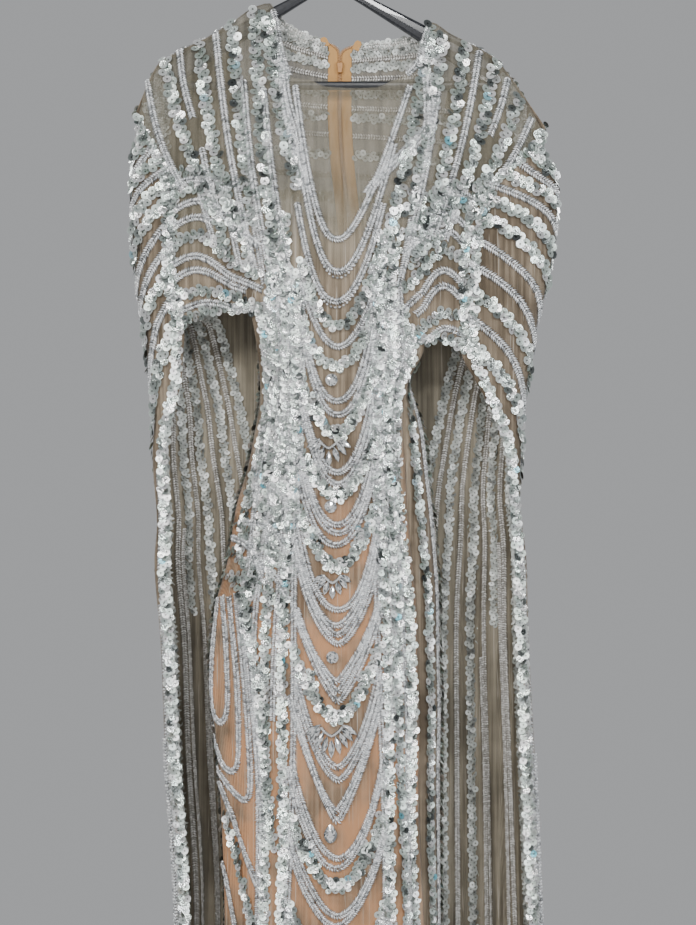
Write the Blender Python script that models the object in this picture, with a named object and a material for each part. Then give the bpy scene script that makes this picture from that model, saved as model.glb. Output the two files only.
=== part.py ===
"""Sequin performance dress on a hanger.

A fitted net gown with a sheer front neckline, a zip down the centre back and a floor-length
cape, hung on a closed plastic hanger. Units are metres, +Z up, and the front faces -Y.
The origin is the inside top of the hanger's hook, where a rail carries it. Tables are in
millimetres: "drop" is the distance below the origin, x runs to the viewer's right.
"""
import math

import bmesh
import bpy
import numpy as np
from mathutils.bvhtree import BVHTree
from mathutils import Vector

MM = 0.001
CLOTH = 1.5 * MM
SEAM = 0.35 * MM
GAP = 0.3 * MM
HEM_DROP = 1600.0
CAPE_HEM_DROP = 1592.0

# The gown's front is one sheet. Its yoke has six levels, from the neck and shoulders (0)
# down to the arches under the arms (5). Across it, f runs from 0 at the left to 1.
ARCH_LEVEL = 5.0
BODY_LEFT_F = 0.245
BODY_RIGHT_F = 0.866
TUBE_STARTS_OVER = 0.1
SLEEVE_LEVELS = np.array([1, 1.07, 1.25, 1.5, 1.75, 2, 2.5, 3, 3.5, 4, 4.5])
BODY_LEVELS = 5 + np.array([0, .015, .03, .05, .075, .105, .14, .18, .22, .26, .30, .35,
                            .40, .46, .52, .59, .67, .76, .87, 1.0])
SLIT_LEVEL = 5.47
SLIT = 2 * MM
LEAST_MITRE = 0.5
SLEEVE_CORNER_GAP = 1.6 * MM
UNDERARM_TUCK = 2.2 * MM
BACK_TOP_LEVELS = (0, 0.07, 0.3, 0.45, 0.65)
BACK_COLUMNS = (0, 0.09, 0.18, 0.27, 0.35, 0.40, 0.43, 0.5, 0.6, 0.72)
BACK_SPREAD = {"left": 1.0, "right": 1.4}
BACK_TAPE_COLUMN = {"left": 0.88, "right": 0.885}
CAPE_FRONT_PART = np.array([0, 0.35, 0.7])
CAPE_BACK_PART = np.array([0, .02, .05, .09, .14, .2, .26, .33, .4, .47, .54, .61, .68, .75, .82,
                           .88, .94, 1])
ARM_LIP = 8.0
ARM_LIP_OVER = 0.03


class Table:
    """Rows of sizes with named columns, read smoothly along the first column."""

    def __init__(self, columns, rows):
        self.names = columns.split()
        self.rows = np.array(rows, float)

    def at(self, name, key):
        return smooth(self.rows[:, 0], self.rows[:, self.names.index(name)], key)


def smooth(xs, ys, at):
    """Read a smooth curve through the points, with no overshoot between them."""
    step = np.diff(xs)
    rise = np.diff(ys) / step
    before, after = rise[:-1], rise[1:]
    same = before * after > 0
    slope = np.empty(len(xs))
    slope[1:-1] = np.where(same, 2 * before * after / np.where(same, before + after, 1), 0)
    slope[0], slope[-1] = rise[0], rise[-1]
    at = np.clip(at, xs[0], xs[-1])
    i = np.clip(np.searchsorted(xs, at, side="right") - 1, 0, len(xs) - 2)
    t = (at - xs[i]) / step[i]
    start = ys[i] * (1 + 2 * t) + slope[i] * step[i] * t
    end = ys[i + 1] * (3 - 2 * t) + slope[i + 1] * step[i] * (t - 1)
    return start * (1 - t) ** 2 + end * t ** 2


# Depth of each layer in front of or behind the hanger's plane.
DEPTH = Table("drop front back cape", (
    (90, 8, 8, 12),
    (190, 22, 22, 28),
    (226, 34, 25, 33),
    (256, 42, 28, 37),
    (330, 56, 33, 43),
    (380, 58, 34, 45),
    (436, 53, 35, 47),
    (565, 43, 34, 50),
    (707, 51, 42, 60),
    (823, 58, 50, 70),
    (1109, 66, 59, 84),
    (1600, 95, 84, 118),
))

# The gown's tube below the arches: its two sides, the seam in front of its right side, and
# the centre back.
BODY = Table("drop left seam right zip", (
    (436, -87, 103, 112, 30),
    (471, -81, 103, 108, 24),
    (520, -78, 82, 103, 16),
    (565, -84, 79, 103, 10),
    (605, -92, 82, 106, 4),
    (650, -105, 84, 112, 0),
    (707, -114, 89, 117, -4),
    (765, -129, 94, 120, -7),
    (823, -134, 95, 121, -8),
    (880, -130, 97, 122, -7),
    (940, -124, 96, 121, -5),
    (1109, -117, 102, 121, 0),
    (1600, -152, 126, 152, 0),
))

# The top edge of the gown's front: shoulder, neck point, sheer scoop, neck point, shoulder.
TOP_EDGE = Table("f x drop depth", (
    (0.000, -206, 184, 0),
    (0.049, -190, 157, 0),
    (0.098, -166, 143, 0),
    (0.147, -139, 130, 0),
    (0.196, -109, 112, 0),
    (0.245, -85, 96, 0),
    (0.289, -67, 91, 0),
    (0.300, -64, 97, 8),
    (0.334, -54, 148, 11),
    (0.378, -43, 176, 14),
    (0.422, -24, 179, 18),
    (0.467, -6, 187, 21),
    (0.556, 32, 189, 22),
    (0.600, 50, 188, 21),
    (0.644, 66, 181, 18),
    (0.689, 80, 174, 15),
    (0.733, 96, 158, 11),
    (0.778, 103, 132, 9.5),
    (0.811, 107, 119, 8),
    (0.822, 110, 112, 0),
    (0.866, 128, 123, 0),
    (0.911, 150, 134, 0),
    (0.955, 180, 151, 0),
    (1.000, 212, 190, 0),
))

# The yoke's outer ends, where the cape sleeves are sewn on, and how far forward they lie.
YOKE = Table("level left left_drop left_depth right right_drop right_depth", (
    (0, -206, 184, 0, 212, 190, 0),
    (1, -213, 218, 7, 235, 235, 7),
    (2, -190, 262, 12, 192, 278, 12),
    (3, -170, 300, 22, 153, 318, 22),
    (4, -173, 375, 27, 142, 393, 27),
    (5, -162, 450, 25, 144, 478, 25),
))

# How much the bottom of the yoke rises over each arm.
ARCH = Table("f rise", (
    (0.000, 0),
    (0.110, 17),
    (0.245, 21),
    (0.550, 12),
    (0.866, 4),
    (0.930, 9),
    (1.000, 0),
))

# The back's armholes, level by level as on the yoke.
ARMHOLE = Table("level left left_drop left_depth right right_drop right_depth", (
    (0, -113, 116, 0, 150, 134, 0),
    (1, -108, 190, 9, 136, 205, 9),
    (2, -105, 250, 10, 130, 268, 10),
    (3, -100, 310, 6, 122, 330, 6),
    (4, -93, 380, -8, 112, 400, -8),
    (5, -87, 436, -30, 103, 474, -30),
))
BACK_LEVELS = Table("level drop", ((0, 136), (1, 200), (2, 255), (3, 315), (4, 380), (5, 446)))

# The back's top edge from the shoulder's end to the zip, which is open at the top.
BACK_TOP = {
    "left": Table("h x drop depth", (
        (0.00, -113, 116, 0),
        (0.25, -85, 96, 0),
        (0.40, -67, 91, 0),
        (0.43, -64, 98, 9),
        (0.50, -58, 106, 12),
        (0.70, -36, 121, 16),
        (0.86, -16, 130, 19),
        (1.00, -4, 135, 21),
    )),
    "right": Table("h x drop depth", (
        (0.00, 150, 134, 0),
        (0.20, 132, 125, 0),
        (0.40, 110, 112, 0),
        (0.43, 106, 119, 9),
        (0.50, 98, 126, 12),
        (0.70, 66, 132, 16),
        (0.88, 39, 136, 19),
        (1.00, 27, 137, 21),
    )),
}
ZIP_LINE = Table("drop left right", (
    (136, -4, 27),
    (146, 4, 17),
    (155, 9.2, 10.8),
    (200, 8.7, 10.3),
    (255, 11.2, 12.8),
    (316, 17.7, 19.3),
    (380, 24.2, 25.8),
    (446, 25.2, 26.8),
))

# The capes: the fold at the outer side, the front edge below the arch, and the free edge
# at the back.
CAPE = {
    "left": Table("drop fold front inner", (
        (190, -209, -162, -104),
        (256, -219, -162, -98),
        (328, -221, -162, -86),
        (430, -212, -162, -74),
        (451, -208, -160, -71),
        (480, -204, -163, -68),
        (510, -201, -165, -66),
        (551, -196, -178, -63),
        (592, -198, -184, -60),
        (671, -193, -181, -56),
        (707, -196, -182, -55),
        (800, -189, -177, -53),
        (925, -184, -171, -51),
        (1109, -173, -160, -48),
        (1600, -186, -172, -42),
    )),
    "right": Table("drop fold front inner", (
        (190, 212, 144, 130),
        (263, 247, 144, 118),
        (316, 251, 144, 110),
        (393, 242, 144, 101),
        (449, 228, 144, 95),
        (478, 224, 143, 92),
        (507, 219, 158, 90),
        (547, 213, 180, 87),
        (589, 211, 197, 85),
        (640, 209, 201, 82),
        (707, 217, 206, 80),
        (782, 219, 209, 78),
        (942, 227, 215, 75),
        (1109, 234, 222, 73),
        (1600, 252, 238, 70),
    )),
}
CAPE_INNER_DROP = Table("level drop", ((1, 118), (2, 190), (3, 252), (4, 330), (5, 436)))
FOLDS = Table("drop cape skirt", ((430, 0, 0), (600, 3, 0.5), (823, 5, 2), (1109, 8, 4), (1600, 13, 9)))
CAPE_FOLD_COUNT = 3.5
SKIRT_FOLD_COUNT = 9

# The hanger, whose arms deepen outwards and are joined by a bar.
ARM_REACH = 188.0
ARM_TOP_DROP = 62.0
ARM_SLOPE = 0.51
ARM_APEX = 10.0
ARM_DEPTH = 9.0
ARM_END_ROUND = 14.0
BAR_DROP = 182.5
BAR_HEIGHT = 10.0
BAR_DEPTH = 6.5
BAR_REACH = 176.0
HOOK_INSIDE = 19.0
HOOK_WIRE = 6.5

# The zip, whose tape shows inside the back.
ZIP_TAPE_THICK = 1.0 * MM
ZIP_END_LEVEL = 4.8
SLIDER_LENGTH = 13.0
SLIDER_WIDTH = 7.0
SLIDER_THICK = 3.0
SLIDER_DROP = 160.0
SLIDER_X = 10.0

# Large stones sewn to the middle of the front.
ROUND_STONES = (("upper", 1, 510), ("middle", 0, 648), ("lower", 2, 811))
ROUND_STONE_RADIUS = 6.5
DROP_STONE = (0, 1001)
DROP_STONE_RADII = (7.5, 10.5)
FANS = (("upper", -2, 574, 7, 38), ("middle", 2, 722, 7, 32), ("lower", 1, 884, 9, 44))
STONE_THICK = 4.0


def point(x, drop, depth):
    """Turn a place on the front view and its depth into a point, in metres."""
    return np.stack(np.broadcast_arrays(x, depth, -np.asarray(drop)), axis=-1) * MM


def mix(a, b, t):
    return a + (b - a) * t


def ease(t):
    t = np.clip(t, 0, 1)
    return t * t * (3 - 2 * t)


def arm_lip(t):
    """Carry the cloth out over the hanger's arm just below the shoulder line."""
    return ARM_LIP * (1 - np.exp(-t / ARM_LIP_OVER)) * (1 - t)


def tube(drop, angle):
    """A place on the gown's tube; the angle runs from its left side across the front."""
    left, right = BODY.at("left", drop), BODY.at("right", drop)
    centre, half = (left + right) / 2, (right - left) / 2
    reach = np.where(np.sin(angle) > 0, DEPTH.at("front", drop), DEPTH.at("back", drop))
    wave = FOLDS.at("skirt", drop) * np.sin(SKIRT_FOLD_COUNT * angle) * np.sin(angle) ** 2
    return centre - half * np.cos(angle), -(reach + wave) * np.sin(angle)


def angle_at(drop, x):
    """The tube's angle in front at a given x."""
    left, right = BODY.at("left", drop), BODY.at("right", drop)
    return np.arccos(np.clip(((left + right) / 2 - x) / ((right - left) / 2), -1, 1))


def yoke(f, level):
    """The gown's front above the arches, as x, drop and depth."""
    left, right = YOKE.at("left", level), YOKE.at("right", level)
    x = mix(left, right, f)
    drop = mix(YOKE.at("left_drop", level), YOKE.at("right_drop", level), f)
    drop = drop - ARCH.at("rise", f) * ease(level - ARCH_LEVEL + 1)
    side = mix(YOKE.at("left_depth", level), YOKE.at("right_depth", level), f)
    depth = mix(side, DEPTH.at("front", drop), 1 - np.abs(2 * f - 1) ** 2.2)
    t = np.clip(level, 0, 1)
    lip = arm_lip(t) * np.clip(np.minimum(f, 1 - f) / 0.05, 0, 1)
    x = np.where(level < 1, mix(TOP_EDGE.at("x", f), mix(-213, 235, f), t), x)
    top_drop = mix(TOP_EDGE.at("drop", f), mix(218, 235, f), t)
    drop = np.where(level < 1, top_drop, drop)
    top_depth = mix(TOP_EDGE.at("depth", f), depth, t)
    top_depth = np.maximum(top_depth, np.minimum(lip + depth * t, top_depth + lip))
    return x, drop, np.where(level < 1, top_depth, depth)


def front(f, level):
    """The gown's whole front. Levels past the arches run evenly down to the hem."""
    f, level = np.broadcast_arrays(np.asarray(f, float), np.asarray(level, float))
    x, drop, depth = yoke(f, np.minimum(level, ARCH_LEVEL))
    down = np.clip(level - ARCH_LEVEL, 0, 1)
    across = np.clip((f - BODY_LEFT_F) / (BODY_RIGHT_F - BODY_LEFT_F), 0, 1)
    low = mix(drop, HEM_DROP, down)
    flat = mix(BODY.at("left", low), BODY.at("seam", low), across)
    flat = flat - mix(BODY.at("left", drop), BODY.at("seam", drop), across) + x
    round_x, round_y = tube(low, across * angle_at(low, BODY.at("seam", low)))
    turn = ease(down / TUBE_STARTS_OVER)
    x = np.where(down > 0, mix(flat, round_x, turn), x)
    sheer = depth + DEPTH.at("front", low) - DEPTH.at("front", drop)
    depth = np.where(down > 0, mix(sheer, -round_y, turn), depth)
    return point(x, low, -depth)


def back(side, h, level):
    """Half of the gown's back, from the armhole or side seam (h 0) to the zip (h 1)."""
    h, level = np.broadcast_arrays(np.asarray(h, float), np.asarray(level, float))
    up = np.minimum(level, ARCH_LEVEL)
    down = np.clip(level - ARCH_LEVEL, 0, 1)
    edge_f = BODY_LEFT_F if side == "left" else BODY_RIGHT_F
    seam = front(edge_f, np.maximum(level, ARCH_LEVEL)) / MM
    armhole_x, armhole_drop = ARMHOLE.at(side, up), ARMHOLE.at(side + "_drop", up)
    armhole_y = ARMHOLE.at(side + "_depth", up)
    below = level >= ARCH_LEVEL
    edge_x = np.where(below, seam[..., 0], armhole_x)
    edge_y = np.where(below, seam[..., 1], armhole_y)
    edge_drop = np.where(below, -seam[..., 2], armhole_drop)
    centre_drop = np.where(below, mix(446.0, HEM_DROP, down), BACK_LEVELS.at("drop", up))
    drop = mix(edge_drop, centre_drop, h)
    zip_x = np.where(drop < 446, ZIP_LINE.at(side, drop), BODY.at("zip", drop))
    zip_x = zip_x + np.where(drop < 446, 0, -0.8 if side == "left" else 0.8)
    x = mix(edge_x, zip_x, h ** BACK_SPREAD[side])
    y = mix(edge_y, DEPTH.at("back", drop), 1 - (1 - h) ** 2)
    if side == "left":
        angle = -h * angle_at(drop, zip_x)
        edge_angle = 0 * h
    else:
        edge_angle = angle_at(drop, BODY.at("seam", drop))
        angle = mix(edge_angle, 2 * math.pi - angle_at(drop, zip_x), h)
    round_x, round_y = tube(drop, angle)
    start_x, start_y = tube(drop, edge_angle)
    fade = (1 - h) ** 2
    round_x = round_x + (edge_x - start_x) * fade
    round_y = round_y + (edge_y - start_y) * fade
    turn = ease(down / TUBE_STARTS_OVER)
    x, y = mix(x, round_x, turn), mix(y, round_y, turn)
    top, t = BACK_TOP[side], np.clip(level, 0, 1)
    shoulder = np.clip((0.46 - h) / 0.05, 0, 1)
    closing = (zip_x - ZIP_LINE.at(side, 136.0)) * ease((h - 0.55) / 0.33)
    x = np.where(level < 1, mix(top.at("x", h) + closing, x, t), x)
    top_y = np.maximum(mix(top.at("depth", h), y, t), arm_lip(t) * shoulder + y * t * shoulder)
    y = np.where(level < 1, top_y, y)
    drop = np.where(level < 1, mix(top.at("drop", h), drop, t), drop)
    return point(x, drop, y)


def cape(side, u, level):
    """A cape: u 0 to 1 from its front edge to the outer fold, 1 to 2 on to its back edge."""
    u, level = np.broadcast_arrays(np.asarray(u, float), np.asarray(level, float))
    sign = -1 if side == "left" else 1
    sizes = CAPE[side]
    up, down = np.minimum(level, ARCH_LEVEL), np.clip(level - ARCH_LEVEL, 0, 1)
    edge_drop = mix(YOKE.at(side + "_drop", up), CAPE_HEM_DROP, down)
    edge_x = np.where(level > ARCH_LEVEL, sizes.at("front", edge_drop), YOKE.at(side, up))
    edge_y = -YOKE.at(side + "_depth", up) + ease(down / 0.12) * 17
    fold_drop = np.maximum(edge_drop - 7 * ease(2 - level), 0)
    fold_x = sizes.at("fold", fold_drop)
    fold_x = mix(fold_x, YOKE.at(side, up) + sign * 2.5, ease(2 - level) * (level < 2))
    fold_y = mix(0.0, 4.0, ease(level - 1))
    near = np.clip(u, 0, 1)
    x = mix(edge_x, fold_x, np.sin(near * math.pi / 2))
    y = mix(edge_y, fold_y, 1 - np.cos(near * math.pi / 2))
    drop = mix(edge_drop, fold_drop, near)
    s = np.clip(u - 1, 0, 1)
    inner_drop = mix(CAPE_INNER_DROP.at("drop", up), CAPE_HEM_DROP, down)
    back_drop = mix(fold_drop, inner_drop, s)
    back_x = mix(fold_x, sizes.at("inner", back_drop), s ** 1.25)
    rise = np.sqrt(1 - (1 - np.clip(s / 0.2, 0, 1)) ** 2)
    wave = FOLDS.at("cape", back_drop) * np.sin(2 * math.pi * CAPE_FOLD_COUNT * s) * ease(s / 0.15)
    back_y = mix(fold_y, DEPTH.at("cape", back_drop) + wave, rise)
    # The top row follows the shoulder line, and the cloth then passes behind the arm.
    f_top = mix(0.0, 0.178, s) if side == "left" else mix(1.0, 0.925, s)
    t = np.clip(level - 1, 0, 1)
    start = ease(s / 0.22)
    top_x = mix(fold_x, TOP_EDGE.at("x", f_top), start)
    top_drop = mix(fold_drop, TOP_EDGE.at("drop", f_top), start)
    top_y = mix(fold_y, 0.0, start)
    back_y = np.where(level < 2, mix(top_y, back_y, t) + arm_lip(t) * start, back_y)
    back_x = np.where(level < 2, mix(top_x, back_x, t), back_x)
    back_drop = np.where(level < 2, mix(top_drop, back_drop, t), back_drop)
    near = u <= 1
    return point(np.where(near, x, back_x), np.where(near, drop, back_drop), np.where(near, y, back_y))


def clear_scene():
    for item in list(bpy.data.objects):
        bpy.data.objects.remove(item)


def material(name, colour, roughness, metallic=0.0):
    made = bpy.data.materials.get(name) or bpy.data.materials.new(name)
    made.use_nodes = True
    shader = made.node_tree.nodes["Principled BSDF"]
    shader.inputs["Base Color"].default_value = (*colour, 1)
    shader.inputs["Roughness"].default_value = roughness
    shader.inputs["Metallic"].default_value = metallic
    return made


def add_object(name, verts, faces, finish):
    mesh = bpy.data.meshes.new(name)
    mesh.from_pydata([tuple(v) for v in verts], [], [tuple(f) for f in faces])
    mesh.materials.append(finish)
    shape = bmesh.new()
    shape.from_mesh(mesh)
    if shape.calc_volume(signed=True) < 0:
        bmesh.ops.reverse_faces(shape, faces=shape.faces)
        shape.to_mesh(mesh)
    shape.free()
    made = bpy.data.objects.new(name, mesh)
    bpy.context.scene.collection.objects.link(made)
    mesh.shade_smooth()
    mesh.set_sharp_from_angle(angle=math.radians(40))
    return made


def facing(grid, keep):
    """Unit normals at the grid's points, from the faces that are kept."""
    a, b = grid[1:, :-1] - grid[:-1, :-1], grid[:-1, 1:] - grid[:-1, :-1]
    c, d = grid[1:, 1:] - grid[:-1, 1:], grid[1:, 1:] - grid[1:, :-1]
    face = (np.cross(a, b) + np.cross(c, d)) * keep[..., None]
    total = np.zeros_like(grid)
    for row in (0, 1):
        for col in (0, 1):
            total[row:row + face.shape[0], col:col + face.shape[1]] += face
    length = np.linalg.norm(total, axis=-1, keepdims=True)
    return total / np.where(length > 0, length, 1)


def wall(name, grid, thick, outward, finish, keep=None, beyond=None):
    """Close a sheet into a wall: the grid is its outer face, with outward 1 or -1.

    beyond holds, at a seam, the normals of the neighbour, so that the two walls are mitred.
    """
    rows, cols = grid.shape[:2]
    keep = np.ones((rows - 1, cols - 1), bool) if keep is None else keep
    normal = outward * facing(grid, keep)
    beyond = normal if beyond is None else beyond
    shared = np.maximum(1 + np.sum(normal * beyond, axis=-1, keepdims=True), LEAST_MITRE)
    inside = grid - thick * (normal + beyond) / shared
    numbers, verts, faces, edges = {}, [], [], {}

    def number(layer, row, col):
        key = (layer, row, col)
        if key not in numbers:
            numbers[key] = len(verts)
            verts.append((grid, inside)[layer][row, col])
        return numbers[key]

    for row, col in zip(*np.nonzero(keep)):
        ring = [(row, col), (row + 1, col), (row + 1, col + 1), (row, col + 1)]
        if outward < 0:
            ring.reverse()
        first, second = (grid[ring[i]] - grid[ring[i + 2]] for i in (0, 1))
        shorter = first @ first < second @ second
        for half in ((0, 1, 2), (0, 2, 3)) if shorter else ((3, 0, 1), (3, 1, 2)):
            faces.append([number(0, *ring[i]) for i in half])
            faces.append([number(1, *ring[i]) for i in reversed(half)])
        for start, end in zip(ring, ring[1:] + ring[:1]):
            edges[(start, end)] = True
    for start, end in edges:
        if (end, start) not in edges:
            faces.append([number(0, *end), number(0, *start), number(1, *start), number(1, *end)])
    return add_object(name, verts, faces, finish)


def mirrored(normal):
    """The normals of a neighbour that meets this sheet along a line in the hanger's plane."""
    return normal * np.array([1.0, -1.0, 1.0])


def pull_in(grid, gap, left=False, right=False, top=False):
    """Draw a sheet's edges back by the gap, so that it stays clear of its neighbour."""
    grid = grid.copy()
    for wanted, edge, near in ((left, (slice(None), 0), (slice(None), 1)),
                               (right, (slice(None), -1), (slice(None), -2)),
                               (top, (0, slice(None)), (1, slice(None)))):
        if wanted:
            way = grid[near] - grid[edge]
            grid[edge] += gap * way / np.linalg.norm(way, axis=-1, keepdims=True)
    return grid


def front_grid():
    """The front's columns and levels, and which of its faces exist."""
    wing_left = np.linspace(0, BODY_LEFT_F, 6)
    body = np.linspace(BODY_LEFT_F, BODY_RIGHT_F, 15)
    wing_right = np.linspace(BODY_RIGHT_F, 1, 4)
    f = np.unique(np.round(np.concatenate((wing_left, body, wing_right, (0.300, 0.811))), 6))
    levels = np.concatenate(([0, 0.07, 0.25, 0.5, 0.75], SLEEVE_LEVELS, BODY_LEVELS))
    grid = front(f[None, :], levels[:, None])
    keep = np.ones((len(levels) - 1, len(f) - 1), bool)
    wing = (f[:-1] < BODY_LEFT_F - 1e-4) | (f[1:] > BODY_RIGHT_F + 1e-4)
    keep[np.ix_(levels[:-1] >= ARCH_LEVEL, wing)] = False
    return grid, keep, f, levels


def normals(sheet, outward):
    return outward * facing(sheet, np.ones(np.array(sheet.shape[:2]) - 1, bool))


def make_capes(net, yoke_normal, yoke_rows):
    """Both capes, and the normals of their front edges for the yoke's own mitre."""
    levels = np.concatenate((SLEEVE_LEVELS, BODY_LEVELS))
    sewn = levels < ARCH_LEVEL
    edges = {}
    for side, outward, column in (("left", -1, 0), ("right", 1, -1)):
        u = np.concatenate((CAPE_FRONT_PART, 1 + CAPE_BACK_PART))
        sheet = cape(side, u[None, :], levels[:, None])
        normal = normals(sheet, outward)
        edges[column] = normal[sewn, 0]
        beyond = normal.copy()
        shoulder = u > 1.1
        beyond[0, shoulder] = mirrored(normal[0, shoulder])
        beyond[sewn, 0] = yoke_normal[yoke_rows, column]
        sheet = pull_in(pull_in(sheet, 2 * SEAM, left=True), SLEEVE_CORNER_GAP, top=True)
        sheet[0, shoulder, 1] += 2 * SEAM
        wall("cape_" + side, sheet, CLOTH, outward, net, beyond=beyond)
    return edges


def make_gown(net):
    """The front, the capes sewn to it and the two halves of the back, with mitred seams."""
    grid, keep, f, levels = front_grid()
    normal = facing(grid, keep)
    beyond = normal.copy()
    shoulder = (f < 0.295) | (f > 0.815)
    beyond[0, shoulder] = mirrored(normal[0, shoulder])
    sewn = (levels >= 1) & (levels < ARCH_LEVEL)
    for edge, cape_normal in make_capes(net, normal, sewn).items():
        beyond[levels < 1, edge] = mirrored(normal[levels < 1, edge])
        beyond[sewn, edge] = cape_normal
    grid[0, shoulder, 1] -= SEAM
    below = levels >= ARCH_LEVEL
    back_levels = np.concatenate((BACK_TOP_LEVELS, np.arange(1, 5, 0.5), BODY_LEVELS))
    back_below = back_levels >= ARCH_LEVEL
    made = {}
    for side, outward, edge_f in (("left", -1, BODY_LEFT_F), ("right", 1, BODY_RIGHT_F)):
        h = np.array(BACK_COLUMNS + (BACK_TAPE_COLUMN[side], 1.0))
        sheet = back(side, h[None, :], back_levels[:, None])
        back_normal = normals(sheet, outward)
        back_beyond = back_normal.copy()
        back_shoulder = h < 0.405
        back_beyond[0, back_shoulder] = mirrored(back_normal[0, back_shoulder])
        column = int(np.argmin(abs(f - edge_f)))
        back_beyond[back_below, 0] = normal[below, column]
        beyond[below, column] = back_normal[back_below, 0]
        way = grid[below, column - outward] - grid[below, column]
        slit = ease((levels[below] - SLIT_LEVEL) / 0.05) * (SLIT if side == "right" else 0)
        grid[below, column] += (SEAM + slit)[:, None] * way / np.linalg.norm(way, axis=-1, keepdims=True)
        sheet = pull_in(sheet, SEAM, left=True)
        sheet[0, back_shoulder, 1] += SEAM
        sheet[int(np.argmax(back_below)), 0, 1] += UNDERARM_TUCK
        made[side] = wall("gown_back_" + side, sheet, CLOTH, outward, net, beyond=back_beyond)
        made[side + "_tape"] = sheet, back_levels
    made["front"] = wall("gown_front", grid, CLOTH, 1, net, keep, beyond)
    return made


def make_zip(backs, tape_finish, metal):
    """Two tapes inside the centre back, made from the back's own points, and the slider."""
    tapes = []
    for side, outward in (("left", -1), ("right", 1)):
        sheet, levels = backs[side + "_tape"]
        rows = levels <= ZIP_END_LEVEL
        strip = sheet[rows][:, -2:]
        normal = outward * facing(sheet, np.ones((len(sheet) - 1, sheet.shape[1] - 1), bool))
        strip = strip - (CLOTH + 2 * GAP) * normal[rows][:, -2:]
        tapes.append(wall("zip_tape_" + side, strip, ZIP_TAPE_THICK, outward, tape_finish))
    seats = [seat_of(tree_of(tape), SLIDER_X, SLIDER_DROP, SLIDER_LENGTH / 2) for tape in tapes]
    face = min(seats) - GAP
    outline = ((-0.5, 0.5), (0.5, 0.5), (0.5, 0.1), (0.32, -0.5), (-0.32, -0.5), (-0.5, 0.1))
    verts = []
    for y, size in ((face, 1.0), (face - SLIDER_THICK * MM, 0.8)):
        for across, up in outline:
            x = (SLIDER_X + across * SLIDER_WIDTH * size) * MM
            verts.append((x, y, (up * SLIDER_LENGTH * size - SLIDER_DROP) * MM))
    count = len(outline)
    faces = [list(range(count)), list(range(2 * count - 1, count - 1, -1))]
    faces += [[i, i + count, (i + 1) % count + count, (i + 1) % count] for i in range(count)]
    add_object("zip_slider", verts, faces, metal)


def loft(name, rings, finish):
    """Close a row of rings of points into one body with flat ends."""
    rings = np.asarray(rings)
    count, size = rings.shape[:2]
    faces = [[r * size + i, r * size + (i + 1) % size, (r + 1) * size + (i + 1) % size,
              (r + 1) * size + i] for r in range(count - 1) for i in range(size)]
    faces.append(list(range(size - 1, -1, -1)))
    faces.append([(count - 1) * size + i for i in range(size)])
    return add_object(name, rings.reshape(-1, 3), faces, finish)


def make_hanger(plastic):
    """Arms that deepen outwards, the bar between their ends, and the moulded hook."""
    angles = np.linspace(0, 2 * math.pi, 12, endpoint=False)
    half = np.array([0, 8, 20, 38, 60, 85, 112, 140, 160, 174, 181, 185.5, ARM_REACH - 0.3])
    stations = np.concatenate((-half[:0:-1], half))
    rings = []
    for x in stations:
        top = ARM_TOP_DROP + ARM_SLOPE * math.hypot(x, ARM_APEX)
        height = min(8 + 0.14 * abs(x), 30)
        inset = max(0.0, abs(x) - (ARM_REACH - ARM_END_ROUND)) / ARM_END_ROUND
        shrink = math.sqrt(1 - inset ** 2)
        across = np.sign(np.sin(angles)) * abs(np.sin(angles)) ** 0.7
        high = np.sign(np.cos(angles)) * abs(np.cos(angles)) ** 0.7
        rings.append(point(x, top + height / 2 - high * height / 2 * shrink,
                           across * ARM_DEPTH / 2 * max(shrink, 0.4)))
    hanger = loft("hanger", rings, plastic)
    bar_rings = [point(x, BAR_DROP - np.cos(angles) * BAR_HEIGHT / 2, np.sin(angles) * BAR_DEPTH / 2)
                 for x in (-BAR_REACH, -88, 0, 88, BAR_REACH)]
    bar = loft("bar_cutter", bar_rings, plastic)
    join = hanger.modifiers.new("bar", "BOOLEAN")
    join.operation = "UNION"
    join.object = bar
    bar.hide_render = True
    bar.display_type = "WIRE"
    make_hook(plastic)


def make_hook(plastic):
    radius = HOOK_INSIDE + HOOK_WIRE / 2
    centre = -HOOK_INSIDE
    path = [(0.0, -ARM_TOP_DROP - 4.7, 10.0), (0.0, -ARM_TOP_DROP, 8.5), (0.0, -58.0, HOOK_WIRE)]
    neck = Table("t x z", ((0, 0, -53), (0.4, 2.5, -46), (0.75, 10, -39.5), (1, 17, -33.5)))
    path += [(float(neck.at("x", t)), float(neck.at("z", t)), HOOK_WIRE) for t in (0, 0.25, 0.5, 0.75)]
    for degrees in range(-38, 196, 13):
        turn = math.radians(degrees)
        path.append((radius * math.cos(turn), centre + radius * math.sin(turn), HOOK_WIRE))
    places = np.array(path)
    ways = np.gradient(places[:, :2], axis=0)
    angles = np.linspace(0, 2 * math.pi, 10, endpoint=False)
    rings = []
    for (x, z, wide), way in zip(path, ways):
        side = np.array([way[1], -way[0]]) / np.linalg.norm(way)
        ring = [(x + side[0] * math.cos(a) * wide / 2, math.sin(a) * wide / 2,
                 z + side[1] * math.cos(a) * wide / 2) for a in angles]
        rings.append(np.array(ring) * MM)
    loft("hanger_hook", rings, plastic)


def stone_ring(outline, base, depths, sizes):
    """Rings of a cut stone: its outline at each depth in front of its base."""
    return [np.array([(base[0] + x * size, base[1] - depth, base[2] + z * size)
                      for x, z in outline]) for depth, size in zip(depths, sizes)]


def tree_of(made):
    bpy.context.view_layer.update()
    return BVHTree.FromObject(made, bpy.context.evaluated_depsgraph_get())


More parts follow.
